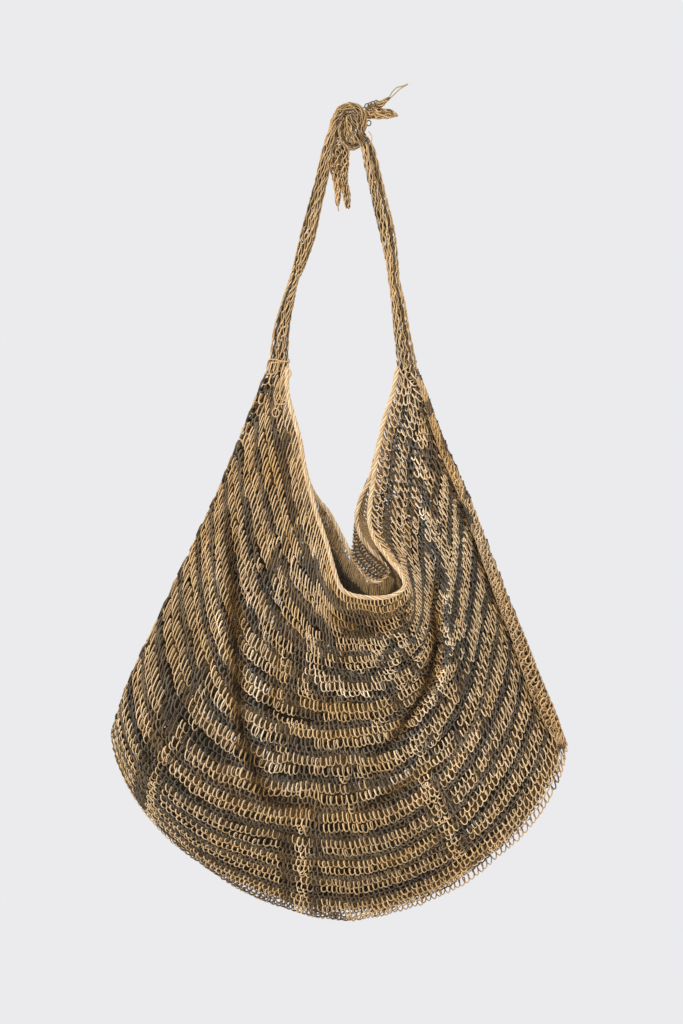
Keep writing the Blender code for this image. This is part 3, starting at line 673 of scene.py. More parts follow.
# %% The inputs of the tree that lays loops on a guide
INLETS = [
    # name, kind, and the value used when none is given
    ("Guide", "NodeSocketGeometry", None),
    ("First course", "NodeSocketInt", 0),
    ("Courses laid", "NodeSocketInt", 1),
    ("Courses in all", "NodeSocketInt", 56),
    ("Loops in a course", "NodeSocketInt", 110),
    ("Steps in a loop", "NodeSocketInt", 10),
    ("Sides of the yarn", "NodeSocketInt", 4),
    ("Swing", "NodeSocketFloat", 0.3),              # how far a loop swings along its course, in loops
    ("Height", "NodeSocketFloat", 0.54),            # half a loop's height, in courses
    ("Slant", "NodeSocketFloat", 0.0),              # lean of every loop, in loops for one course of height
    ("Depth", "NodeSocketFloat", 0.001),            # how far the yarn passes in front and behind, in metres
    ("Winds", "NodeSocketFloat", 0.0),              # turns round a tube from end to end
    ("Closed", "NodeSocketFloat", 0.0),             # 1 where the guide is a tube
    ("Yarn radius", "NodeSocketFloat", 0.00078),    # metres
    ("Dark yarn thicker", "NodeSocketFloat", 0.2),
    ("Tan opens", "NodeSocketFloat", 0.0),          # how far tan courses open, in courses
    # painted shade: how light a piece's yarn is painted, set low for pieces that lie in shade
    ("Shade", "NodeSocketFloat", 0.92),
    ("Unevenness", "NodeSocketFloat", 0.7),
    ("Stripe courses", "NodeSocketFloat", 4.0),     # courses of one tan and one dyed stripe together
    ("Stripe start", "NodeSocketFloat", 0.0),
    ("Tan share", "NodeSocketFloat", 0.5),          # share of these that is tan
    ("Seed", "NodeSocketFloat", 1.0),
    ("Yarn", "NodeSocketMaterial", None),
]


def opened_tree():
    """A new tree, and its inputs by name."""
    tree = bpy.data.node_groups.new("looped_yarn", "GeometryNodeTree")
    for name, kind, value in INLETS:
        socket = tree.interface.new_socket(name=name, in_out="INPUT", socket_type=kind)
        if value is not None:
            socket.default_value = value
    tree.interface.new_socket(name="Net", in_out="OUTPUT", socket_type="NodeSocketGeometry")
    start = tree.nodes.new("NodeGroupInput")
    return Wire(tree), {socket.name: Wire(tree, socket) for socket in start.outputs if socket.name}


# %% What the tree asks of the guide and of the noise
# The guide is asked only inside its margins.
U_LIMITS = (-0.9 * U_MARGIN, 1 + 0.9 * U_MARGIN)
V_LIMITS = (-0.5 * V_MARGIN, 1 + 0.25 * V_MARGIN)
VECTOR = {"data_type": "FLOAT_VECTOR"}


def asked(wire, given, value, spot):
    """What the guide holds at a spot."""
    if isinstance(value, str):
        value = wire.add("GeometryNodeInputNamedAttribute", VECTOR, {"Name": value})
    shares = wire.add("GeometryNodeInputNamedAttribute", VECTOR, {"Name": "shares"})
    values = {"Mesh": given["Guide"], "Value": value, "UV Map": shares, "Sample UV": spot}
    return wire.add("GeometryNodeSampleUVSurface", VECTOR, values)


def spot_at(given, along, down):
    """The guide's U and V for a place in loops and courses, wrapped where the guide is a tube."""
    u = (along / given["Loops in a course"]).between(*U_LIMITS)
    v = down / given["Courses in all"] + given["Winds"] * u
    v = v - v.sum("FLOOR") * given["Closed"]
    return v.joined(u, v.between(*V_LIMITS))


def wandering(wire, given, t, course, rates):
    """Three numbers about 0 that change smoothly along the yarn and from course to course."""
    fine, coarse, seed = rates
    where = wire.joined(t * fine, course * coarse, given["Seed"] + seed)
    values = {"Vector": where, "Detail": 1.0, "Scale": 1.0}
    noise = wire.add("ShaderNodeTexNoise", values=values, take="Color")
    return [(part - 0.5) * given["Unevenness"] for part in noise.parts()]


# %% The path of the yarn
FLATTER = 0.3            # how much flatter than a sine the loop's top and bottom are
COURSES_HELD = 4.0       # the first courses are held by the edge and lean less
MOST_LEAN = 0.62         # loops of lean for one course of height
MOVING_APART = 0.75      # how far tan courses move apart, and dyed ones together, as a share of the opening
FINE_WANDER = (0.9, 3.7, 0.0)     # change from loop to loop and from course to course, and a seed
SLOW_WANDER = (0.11, 0.27, 7.0)
LOOPS_STRAY = 1.1        # how far a point strays along its course, in loops
LOOPS_DRIFT = 1.5        # how far a whole stretch drifts
COURSES_STRAY = 0.8      # the same down the bag, in courses
COURSES_DRIFT = 2.4
HEIGHTS_VARY = 0.8
SWINGS_VARY = 1.5
LIFTS_VARY = 0.0012      # metres


def loop_path(wire, given, t, course, offset, stripe_turn, fine, slow):
    """Where the yarn runs, which way is out there, how near it is, and how deep in a fold."""
    jig_along, jig_down, jig_size = fine
    base = spot_at(given, t + offset, course + 0.5)
    hollow = asked(wire, given, "plan", base).parts()[0]
    # A loop leans along its course until it hangs the way it is pulled.
    lean = asked(wire, given, "lean", base).parts()[0] * given["Loops in a course"] / given["Courses in all"]
    lean = lean.between(-MOST_LEAN, MOST_LEAN)
    lean = lean * ((course + 0.5) / COURSES_HELD).between(0, 1) + given["Slant"]
    turn = t * (2 * math.pi)
    side = turn.sum("SINE")
    plain_fall = turn.sum("COSINE") * -1.0
    fall = plain_fall * (1 + FLATTER - plain_fall * plain_fall * FLATTER)
    # Tan courses lie wide and open, the dyed ones are pulled tight between them.
    opening = stripe_turn.sum("SINE") * given["Tan opens"]
    spread = stripe_turn.sum("COSINE") * -MOVING_APART * given["Tan opens"]
    height = given["Height"] * (1 + jig_size * HEIGHTS_VARY) * (1 + opening)
    swing = given["Swing"] * (1 + jig_down * SWINGS_VARY)
    along = t + offset - 0.25 - side * swing + fall * height * lean
    along = along + jig_along * LOOPS_STRAY + slow[0] * LOOPS_DRIFT
    down = course + 0.5 + spread + fall * height + jig_down * COURSES_STRAY + slow[1] * COURSES_DRIFT
    place = spot_at(given, along, down)
    outward = asked(wire, given, "outward", place)
    lift = side * given["Depth"] * (1 + jig_size) + jig_along * LIFTS_VARY
    laid = asked(wire, given, wire.add("GeometryNodeInputPosition"), place)
    return laid.vector("ADD", outward.scaled(lift)), outward, side, hollow


# %% The dye of the yarn, and its painted shade
# painted shade: yarn is painted lighter where it passes in front and darker where it passes behind
NEAR_LIGHTER = 0.2       # what passes in front is this much lighter, and what passes behind darker
# painted shade: how much darker the yarn is painted at a fold's full depth, and lighter on a ridge
FOLD_DARKER = 0.75
YARNS_DIFFER = 0.2       # how much one yarn differs from the next in light
LOOPS_DIFFER = 0.3
STRETCHES_DIFFER = 0.4
STRETCHES_WARM = 1.2     # how much a stretch of yarn differs from the next in warmth
YARNS_WARM = 0.5
YARN_SEED = 3


def loop_dye_and_shade(wire, given, t, course, offset, in_stripe, side, hollow, fine, slow):
    """Tan or dark for a whole loop, and the yarn's warmth and its painted light and shade."""
    middle_along = t.sum("FLOOR") + offset + 0.25 + slow[0] * LOOPS_DRIFT
    middle = spot_at(given, middle_along, course + 0.5 + slow[1] * COURSES_DRIFT)
    _, band, warmth = asked(wire, given, "plan", middle).parts()
    tan = in_stripe.sum("FRACT").sum("LESS_THAN", given["Tan share"]) * band.sum("GREATER_THAN", -0.5)
    tan = tan.sum("MAXIMUM", band.sum("GREATER_THAN", 0.5))
    one_yarn = wire.add("FunctionNodeRandomValue", {"data_type": "FLOAT"}, {"ID": course, "Seed": YARN_SEED},
                        take="Value")
    # painted shade: lighter in front, darker behind and in a fold's trough, lighter on a ridge; the rest
    # differs at random
    shade = 1 + side * NEAR_LIGHTER - hollow * FOLD_DARKER + (one_yarn - 0.5) * YARNS_DIFFER
    shade = shade + fine[2] * LOOPS_DIFFER + slow[2] * STRETCHES_DIFFER
    # painted shade: the yarn is also painted warmer in a fold's trough and paler on a ridge
    warmth = warmth + slow[2] * STRETCHES_WARM + (one_yarn - 0.5) * YARNS_WARM + hollow
    return tan, wire.joined(tan, warmth, shade * given["Shade"])


# %% The tree
YARN_VARIES = 0.5        # share by which the yarn's thickness varies


def yarn_tubes(wire, given, laid, thick, attributes, yarn, index, per_yarn):
    """Points laid in rows and each row turned into a tube."""
    points = wire.add("GeometryNodePoints",
                      values={"Count": given["Courses laid"] * per_yarn, "Position": laid, "Radius": thick})
    for name, value in attributes.items():
        points = wire.add("GeometryNodeStoreNamedAttribute", {**VECTOR, "domain": "POINT"},
                          {"Geometry": points, "Name": name, "Value": value})
    rows = wire.add("GeometryNodePointsToCurves",
                    values={"Points": points, "Curve Group ID": yarn, "Weight": index})
    profile = wire.add("GeometryNodeCurvePrimitiveCircle",
                       values={"Resolution": given["Sides of the yarn"], "Radius": given["Yarn radius"]})
    return wire.add("GeometryNodeCurveToMesh",
                    values={"Curve": rows, "Profile Curve": profile, "Scale": thick, "Fill Caps": True})


def looping_tree():
    """Numbers every point by its yarn and its place t along it in loops, and lays the yarns."""
    wire, given = opened_tree()
    per_yarn = given["Loops in a course"] * given["Steps in a loop"] + 1
    index = wire.add("GeometryNodeInputIndex")
    yarn = ((index + 0.5) / per_yarn).sum("FLOOR")
    t = (index - yarn * per_yarn) / given["Steps in a loop"]
    course = yarn + given["First course"]
    offset = (course * 0.5).sum("FRACT")
    in_stripe = (course + 0.5 + given["Stripe start"]) / given["Stripe courses"]
    fine = wandering(wire, given, t, course, FINE_WANDER)
    slow = wandering(wire, given, t, course, SLOW_WANDER)

    stripe_turn = in_stripe * (2 * math.pi)
    laid, outward, side, hollow = loop_path(wire, given, t, course, offset, stripe_turn, fine, slow)
    tan, dye = loop_dye_and_shade(wire, given, t, course, offset, in_stripe, side, hollow, fine, slow)
    thick = (1 + fine[1] * YARN_VARIES) * (1 + (1 - tan) * given["Dark yarn thicker"])
    tubes = yarn_tubes(wire, given, laid, thick, {"dye": dye, "lie": outward}, yarn, index, per_yarn)
    whole = wire.add("GeometryNodeRealizeInstances", values={"Geometry": tubes})
    finished = wire.add("GeometryNodeSetMaterial", values={"Geometry": whole, "Material": given["Yarn"]})
    end = wire.tree.nodes.new("NodeGroupOutput")
    wire.tree.links.new(finished.socket, end.inputs[0])
    return wire.tree


LOOPING = looping_tree()
print("looping tree:", len(LOOPING.nodes), "nodes")

# %% [markdown]
# ## Bast yarn
#
# The yarn is two plies of hand-rolled fibre. Undyed it is straw tan, here and there more orange. Dyed it is
# brown in some batches and slate in others. It is dry and dull, with fine streaks along the fibre and a faint
# ply twist. Whether a loop is tan or dark comes with the mesh as an attribute, together with painted shade
# for the folds, the yarn's depth and its inner side, and the rest is noise.

# %% The yarn's material
PALE_TAN = (0.95, 0.725, 0.46, 1.0)
ORANGE_TAN = (0.87, 0.54, 0.215, 1.0)
SLATE = (0.122, 0.110, 0.088, 1.0)
BROWN = (0.29, 0.185, 0.088, 1.0)
# painted shade: yarn painted darker is also painted browner
BROWNING = (0.0, 0.20, 0.54)    # share of red, green and blue lost in full shade
USUAL_WARMTH = 0.42      # 0 is pale tan and slate, 1 is orange tan and brown
PLAN_WARMS = 0.7         # how much of the plan's warmth shows
BATCHES_DIFFER = 0.8
BATCH_SCALE = 14.0       # batches of yarn a metre
FIBRE_SCALE = 900.0      # streaks a metre
PLY_LENGTH = 0.0034      # metres of yarn that one turn of a ply takes
PLY_DEPTH = 0.0004       # metres
PLAIN_LIGHT = 0.8        # light of a yarn between its streaks and plies
STREAKS_DIFFER = 0.7
PLIES_DIFFER = 0.2
LIGHT_LIMITS = (0.03, 1.6)
YARN_ROUGHNESS = 0.88
ROUGHNESS_VARIES = 0.15
BUMP_STRENGTH = 0.5
SHEEN = 0.1
GLOSS = 0.2


def mixed(wire, share, first, second):
    values = {"Factor": share, "A": first, "B": second}
    return wire.add("ShaderNodeMix", {"data_type": "RGBA", "clamp_factor": True}, values, take="Result")


def yarn_material(name):
    material = bpy.data.materials.new(name)
    material.use_nodes = True
    tree = material.node_tree
    shader = tree.nodes["Principled BSDF"]
    wire = Wire(tree)
    tone, warmth, shade = wire.add("ShaderNodeAttribute", {"attribute_name": "dye"}, take="Vector").parts()
    place = wire.add("ShaderNodeTexCoord", take="Object")
    streaks = wire.add("ShaderNodeTexNoise", values={"Vector": place, "Scale": FIBRE_SCALE, "Detail": 3.0})
    batches = wire.add("ShaderNodeTexNoise", values={"Vector": place, "Scale": BATCH_SCALE, "Detail": 2.0})
    warm = USUAL_WARMTH + warmth * PLAN_WARMS + (batches - 0.5) * BATCHES_DIFFER
    yarn = mixed(wire, tone, mixed(wire, warm, SLATE, BROWN), mixed(wire, warm, PALE_TAN, ORANGE_TAN))
    twist_at, round_at, _ = wire.add("ShaderNodeUVMap", {"uv_map": "yarn"}).parts()
    # the ply twist is bumped, and also painted in lighter and darker turns: painted shade in its grooves
    ply = ((twist_at + round_at) * (4 * math.pi)).sum("SINE") * 0.5 + 0.5
    light = shade * (PLAIN_LIGHT + (streaks - 0.5) * STREAKS_DIFFER + ply * PLIES_DIFFER)
    light = light.between(*LIGHT_LIMITS)
    # Painted shade: where the yarn is painted darker it is also painted browner, like light that has passed
    # between many yarns.
    painted_light_rgb = [light * (1 - lost * (1 - light)) for lost in BROWNING]
    bright = yarn.vector("MULTIPLY", wire.joined(*painted_light_rgb))
    bump = wire.add("ShaderNodeBump",
                    values={"Strength": BUMP_STRENGTH, "Distance": PLY_DEPTH, "Height": ply + streaks})
    rough = YARN_ROUGHNESS + (streaks - 0.5) * ROUGHNESS_VARIES
    for socket, value in (("Base Color", bright), ("Roughness", rough), ("Normal", bump)):
        tree.links.new(value.socket, shader.inputs[socket])
    shader.inputs["Sheen Weight"].default_value = SHEEN
    shader.inputs["Specular IOR Level"].default_value = GLOSS
    return material


NET_YARN = yarn_material("net_yarn")
print("yarn material:", len(NET_YARN.node_tree.nodes), "nodes")

# %% [markdown]
# ## From tree to plain mesh
#
# A modifier's inputs are set by the socket's identifier before anything is evaluated. The evaluated result is
# copied to a mesh of its own, and the guide goes. The yarn then gets two UV maps, both worked out from the
# order in which a tube's points are made, ring by ring: "yarn" follows the ply, and "OFBake" spreads every
# yarn out as strips that don't overlap, so that the colours can be baked later. The side of the yarn that
# faces into the bag is painted darker, as painted shade, because that is where shade gathers.

# %% Lay the yarn and map it
THIN_SIDES = 3           # sides of a thin yarn's section
STRIP_USED = 0.985       # share of the bake map's width that the strips take; the end caps get the rest
STRIP_FILL = 0.86        # share of a strip's height that its faces take
# painted shade: the side of a yarn that faces into the bag is painted darker
INNER_SHADE = 0.32       # brightness of the side of the yarn that faces inwards
HIDDEN_INNER = 0.8       # the same in places that lie in shade anyway
TURNED_IN = -0.9         # a face that looks this far inwards (as a cosine) is at its dullest
TURNED_OVER = 1.2        # and over this much more turning it gets all its light
CAP_MIDDLE = 0.45        # an end cap's place in its strip, and its radius there
CAP_RADIUS = 0.35


def laid_yarn(name, guide, **sizes):
    """Evaluates the tree on a guide, with sizes by the names of its inputs, and returns a plain mesh."""
    holder = bpy.data.objects.new(f"{name}_guide", guide)
    bpy.context.scene.collection.objects.link(holder)
    step = holder.modifiers.new("laying", "NODES")
    step.node_group = LOOPING
    for socket in LOOPING.interface.items_tree:
        key = socket.name.lower().replace(" ", "_")
        if key in sizes:
            step[socket.identifier] = sizes[key]
    graph = bpy.context.evaluated_depsgraph_get()
    mesh = bpy.data.meshes.new_from_object(holder.evaluated_get(graph), depsgraph=graph)
    mesh.name = name
    bpy.data.objects.remove(holder)
    mesh.shade_smooth()
    return mesh


def read(layer, field, width):
    values = np.empty(len(layer) * width, dtype=np.float32)
    layer.foreach_get(field, values)
    return values.reshape(-1, width)


def shade_inner_side(mesh, rings, inner):
    """Paints shade on the side of each tube that faces into the bag."""
    lie = read(mesh.attributes["lie"].data, "vector", 3).reshape(rings.shape)
    facing = (unit(rings - rings.mean(axis=1)[:, None]) * unit(lie)).sum(axis=2)
    dye = read(mesh.attributes["dye"].data, "vector", 3).reshape(rings.shape)
    dye[:, :, 2] *= inner + (1 - inner) * ease((facing - TURNED_IN) / TURNED_OVER)
    mesh.attributes["dye"].data.foreach_set("vector", dye.ravel())
    mesh.attributes.remove(mesh.attributes["lie"])


def map_yarn(mesh, points_per_yarn, sides, strips, inner=INNER_SHADE):
    """UV maps and painted inner shade for tubes whose points are made ring by ring."""
    rings = read(mesh.vertices, "co", 3).reshape(-1, sides, 3)
    shade_inner_side(mesh, rings, inner)
    steps = np.linalg.norm(np.diff(rings.mean(axis=1), axis=0), axis=1)
    steps[points_per_yarn - 1::points_per_yarn] = 0.0
    run = np.concatenate(([0.0], np.cumsum(steps)))

    corner = read(mesh.loops, "vertex_index", 1)[:, 0].astype(np.int64)
    first = read(mesh.polygons, "loop_start", 1)[:, 0].astype(np.int64)
    owner = np.repeat(np.arange(len(first)), np.diff(np.append(first, len(corner))))
    ring, side = np.divmod(corner, sides)
    yarn, place = np.divmod(ring, points_per_yarn)
    start = np.minimum.reduceat(place, first)
    is_cap = (start == np.maximum.reduceat(place, first))[owner]
    is_seam = (np.maximum.reduceat(side, first) - np.minimum.reduceat(side, first) == sides - 1)[owner]
    around = np.where(is_seam & ~is_cap & (side == 0), sides, side) / sides
    chunk = math.ceil((points_per_yarn - 1) / strips)
    strip = np.minimum(start // chunk, strips - 1)[owner]
    rows = (yarn.max() + 1) * strips
    turn = 2 * math.pi * side / sides
    cap_x = STRIP_USED + (1 - STRIP_USED) * (0.5 + CAP_RADIUS * np.cos(turn))
    cap_y = CAP_MIDDLE + CAP_RADIUS * np.sin(turn)
    x = np.where(is_cap, cap_x, (place - strip * chunk) / chunk * STRIP_USED)
    y = yarn * strips + strip + np.where(is_cap, cap_y, around * STRIP_FILL)
    for name, pair in {"yarn": (run[ring] / PLY_LENGTH, around), "OFBake": (x, y / rows)}.items():
        spots = np.stack(pair, axis=1).astype(np.float32)
        mesh.uv_layers.new(name=name).data.foreach_set("uv", spots.ravel())


def yarn_object(name, meshes):
    """One object from one or more yarn meshes, whose bake maps are stacked in proportion to their faces."""
    below = 0.0
    whole = sum(len(mesh.polygons) for mesh in meshes)
    for mesh in meshes:
        part = len(mesh.polygons) / whole
        spots = read(mesh.uv_layers["OFBake"].data, "uv", 2)
        spots[:, 1] = below + spots[:, 1] * part
        mesh.uv_layers["OFBake"].data.foreach_set("uv", spots.ravel())
        below += part
    parts = [bpy.data.objects.new(name, mesh) for mesh in meshes]
    for part in parts:
        bpy.context.scene.collection.objects.link(part)
    if len(parts) > 1:
        with bpy.context.temp_override(active_object=parts[0], selected_editable_objects=parts):
            bpy.ops.object.join()
    parts[0].name = name
    parts[0].data.name = name
    return parts[0]


def looped_mesh(name, guide, courses, loops, steps, sides=THIN_SIDES, first=0, in_all=None, strips=2,
                inner=INNER_SHADE, **sizes):
    """Looped yarn on a guide, mapped."""
    mesh = laid_yarn(name, guide, first_course=first, courses_laid=courses, courses_in_all=in_all or courses,
                     loops_in_a_course=loops, steps_in_a_loop=steps, sides_of_the_yarn=sides,
                     yarn=NET_YARN, **sizes)
    map_yarn(mesh, loops * steps + 1, sides, strips, inner)
    return mesh


TRIANGLES = {}


def own(piece, node):
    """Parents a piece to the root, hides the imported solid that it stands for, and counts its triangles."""
    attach(piece, "root")
    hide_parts(node)
    piece.data.calc_loop_triangles()
    TRIANGLES[piece.name] = len(piece.data.loop_triangles)
    print(piece.name, TRIANGLES[piece.name], "triangles")


# %% [markdown]
# ## The net
#
# The two layers are laid in bands of courses, so that no mesh grows too heavy. The yarn is so thin that three
# sides are enough, and steps round the loop matter more: nine in the front, which is seen close to, and seven
# in the back. Laid flat, each band is a strip as long as its courses and as deep as its courses stand in the
# middle of the bag.

# %% The net, in bands of courses
COURSES_IN_ALL = 56
# Each band's first course and how many courses it has.
FRONT_PARTS = {"net_front_upper": (0, 19), "net_front_middle": (19, 19), "net_front_lower": (38, 18)}
BACK_PARTS = {"net_back_upper": (0, 28), "net_back_lower": (28, 28)}
TAN_OPENS = 0.30         # how far the tan courses spread and the dark ones close, in courses
FRONT_LOOKS = {"in_all": COURSES_IN_ALL, "loops": 108, "steps": 9, "seed": 1.0, "unevenness": 1.0,
               "yarn_radius": 0.00082, "tan_opens": TAN_OPENS}
BACK_LOOKS = {"in_all": COURSES_IN_ALL, "loops": 110, "steps": 7, "seed": 5.0, "stripe_start": 1.0,
              "yarn_radius": 0.00092, "tan_opens": TAN_OPENS, "inner": HIDDEN_INNER}


def flat_size(rows, first, count):
    """Width and depth in metres of a band of courses laid flat."""
    courses = rows[2:-1]        # without the guide's margins
    start, stop = (round(share / COURSES_IN_ALL * (len(courses) - 1)) for share in (first, first + count))
    band = courses[start:stop + 1]
    width = np.linalg.norm(np.diff(band, axis=1), axis=2).sum(axis=1).mean() * MM
    middle = courses[:, GUIDE_WIDE // 2]
    step = np.linalg.norm(np.diff(middle, axis=0), axis=1).sum() * MM / COURSES_IN_ALL
    return float(width), float(step * count)


def net_pieces(parts, guide, rows, looks):
    """The pieces of one layer, each of them one band of its courses."""
    for name, (first, count) in parts.items():
        piece = yarn_object(name, [looped_mesh(name, guide, count, first=first, **looks)])
        own(piece, "bag_body")
        flat = flat_size(rows, first, count)
        print(name, "flat, m:", [round(side, 3) for side in flat])


net_pieces(FRONT_PARTS, front_guide, front_rows, FRONT_LOOKS)
net_pieces(BACK_PARTS, back_guide, back_rows, BACK_LOOKS)

# %% [markdown]
# The back hangs slacker than the front, and its slack gathers against its inner side, so that little light
# gets through the bag. That gather is one more net a few millimetres inside the back, fine in the arms and
# coarser below, where two or three yarns lie bunched together. It lies in shade, so its yarn is painted dark
# as painted shade, and painted lighter where light falls in through the mouth. Laid flat it is nearly three
# times as wide as the back, because its yarns lie bunched.

# %% The gathered slack inside the back
GATHER_INSET = 4.0       # mm inside the back layer
GATHER_EASES = 0.12      # share down over which it leaves the back
GATHER_LOOKS = {"in_all": COURSES_IN_ALL, "steps": 5, "seed": 9.0, "inner": HIDDEN_INNER}
# painted shade: the gather's low shade paints its yarn dark
GATHER_PARTS = {
    "net_gather_upper": {"first": 0, "courses": 15, "loops": 156, "yarn_radius": 0.0013,
                         "shade": 0.40, "height": 0.85, "swing": 0.12, "slant": 0.0},
    "net_gather_lower": {"first": 15, "courses": 39, "loops": 100, "yarn_radius": 0.0024,
                         "shade": 0.38, "height": 0.9, "swing": 0.0, "slant": -0.5},
}
# painted light: the gather's yarn is painted lighter where light falls in through the mouth
MOUTH_LIGHT = ((2.0, -488.0), (38.0, 42.0), 0.9)    # middle, reach in mm, and how much lighter


def inset_guide(name, rows, outward, inset):
    """A guide like the back's, but this far inside it, with painted light by the mouth."""
    arch = np.sin(math.pi * np.clip(ALONG_SHARES, 0, 1)) ** BELLY_FULLNESS
    far = inset * arch[None, :] * ease(DOWN_SHARES / GATHER_EASES)[:, None]
    moved = rows - outward * far[:, :, None]
    middle, reach, lighter = MOUTH_LIGHT
    away = ((moved[:, :, 0] - middle[0]) / reach[0]) ** 2 + ((moved[:, :, 2] - middle[1]) / reach[1]) ** 2
    crease = -lighter * np.exp(-away)
    return guide_mesh(name, moved, outward, ALONG_SHARES, DOWN_SHARES, crease=crease)


gather_guide = inset_guide("gather_guide", back_rows, back_outward, GATHER_INSET)
for name, looks in GATHER_PARTS.items():
    gather = yarn_object(name, [looped_mesh(name, gather_guide, **GATHER_LOOKS, **looks)])
    own(gather, "bag_body")
    wide, deep = flat_size(back_rows, looks["first"], looks["courses"])

# %% [markdown]
# Behind the mouth the back's lip turns in on itself. The turned part is a narrow strip of net between two
# edges, and it widens to a small bowl under the opening.

# %% The turned lip of the back
LIP_OUTER = [(15, -392), (6, -415), (0, -443), (-3, -468), (-4, -485), (6, -500), (18, -512), (38, -516)]
LIP_INNER = [(19, -392), (12, -415), (9, -440), (10, -460), (18, -479), (28, -489), (38, -496), (50, -505)]
LIP_DEPTH = (11.5, 15.5)  # y of the inner edge and the outer edge, mm
LIP_LOOKS = {"courses": 9, "loops": 32, "steps": 8, "inner": HIDDEN_INNER, "seed": 31.0, "shade": 0.6,
             "height": 0.8, "stripe_courses": 3.0, "yarn_radius": 0.0011}
LIP_ROWS = 15
BAND_WIDE = 80           # points along the guide of a narrow band


def lip_guide(name):
    """A strip of net between two edges."""
    u = np.linspace(-U_MARGIN, 1 + U_MARGIN, BAND_WIDE)
    v = np.linspace(-V_MARGIN, 1 + V_MARGIN, LIP_ROWS)
    outer, inner = (smooth_route(edge, BAND_WIDE) for edge in (LIP_OUTER, LIP_INNER))
    flat = outer[None] + (inner - outer)[None] * v[:, None, None]
    depth = np.broadcast_to(LIP_DEPTH[1] + (LIP_DEPTH[0] - LIP_DEPTH[1]) * v[:, None], flat.shape[:2])
    points = np.stack([flat[:, :, 0], depth, flat[:, :, 1]], axis=-1)
    outward = np.broadcast_to(np.array([0.0, -1.0, 0.0]), points.shape)
    return guide_mesh(name, points, outward, u, v)


lip = yarn_object("net_back_lip", [looped_mesh("net_back_lip", lip_guide("lip_guide"), **LIP_LOOKS)])
own(lip, "bag_body")
lip_long = route_length(smooth_route(LIP_OUTER, BAND_WIDE)) * MM

# %% [markdown]
# ## Straps
#
# The straps are the same looped net, pulled so long that its loops close into strands. A guide for them is a
# tube with an oval section, and the courses run along it. Inside the outer loops lies a core of strands with
# a little more dyed yarn, painted darker as painted shade, because the net is bunched there in several
# layers.

# %% Stations of the bands, in millimetres
# x, z, y of the middle, width, thickness, and turn about the band's own length in degrees.
STRAP_LEFT = [
    (-92.6, -272.0, 0.0, 25.0, 10.0, 0.0), (-91.5, -256.2, 0.0, 23.0, 11.0, 0.0),
    (-88.0, -213.6, 0.0, 20.0, 11.0, 8.0),
    (-79.8, -177.6, -1.0, 15.6, 11.5, 25.0), (-73.6, -153.6, -1.0, 13.0, 11.5, 55.0),
    (-65.6, -132.0, 0.0, 15.6, 11.0, 20.0), (-56.4, -99.6, 1.0, 18.8, 10.5, 0.0),
    (-49.2, -69.6, 1.0, 17.0, 10.5, -8.0), (-40.2, -33.6, 0.0, 15.6, 10.5, -8.0),
    (-33.0, 2.0, -2.0, 13.5, 10.5, 0.0), (-26.5, 26.0, -3.0, 11.5, 10.5, 0.0),
    (-23.0, 37.0, -3.0, 10.5, 10.5, 0.0),
]
STRAP_RIGHT = [
    (64.4, -272.0, 0.0, 27.0, 10.0, 0.0), (62.4, -256.2, 0.0, 23.5, 11.0, 0.0),
    (56.0, -213.6, 0.0, 20.0, 11.0, -8.0),
    (51.0, -177.6, 1.0, 17.6, 11.0, -20.0), (46.8, -153.6, 1.0, 14.4, 11.5, -35.0),
    (45.0, -135.6, 0.0, 15.4, 11.0, -15.0), (39.4, -99.6, 0.0, 19.0, 10.5, 0.0),
    (32.4, -69.6, 0.0, 19.0, 10.5, 5.0), (24.0, -33.6, -1.0, 18.0, 10.5, 5.0),
    (16.4, 0.0, -2.0, 16.5, 10.5, 0.0), (10.0, 16.0, -2.0, 14.5, 10.0, 0.0),
]
# Turns of the knot: x, z, y of the middle, and radius.
KNOT_ARCH = [
    (-26.5, 26.5, -3.0, 5.6), (-23.8, 36.0, -4.0, 5.8), (-19.5, 45.5, -5.0, 6.0), (-13.0, 51.5, -6.0, 6.0),
    (-5.0, 53.4, -7.0, 6.0), (3.0, 50.6, -7.0, 6.0), (8.0, 43.0, -6.0, 6.0), (8.6, 33.0, -5.0, 5.8),
    (7.0, 23.0, -4.0, 5.0),
]
KNOT_CURL = [
    (-13.0, 38.0, -3.0, 5.0), (-15.0, 25.0, -5.0, 5.6), (-12.0, 13.5, -5.0, 5.8), (-4.0, 7.2, -4.0, 5.8),
    (4.0, 9.0, -2.0, 5.0),
]
KNOT_FAN = [
    (-10.0, 42.0, -1.0, 8.0), (-4.5, 31.0, -1.0, 10.5), (2.0, 20.5, -1.0, 10.5), (10.5, 9.5, -1.5, 7.8),
]
KNOT_BACK = [
    (-18.5, 33.0, 3.0, 6.5), (-11.0, 38.5, 4.1, 8.0), (-2.0, 40.0, 4.3, 8.2), (6.0, 37.0, 3.2, 7.0),
]
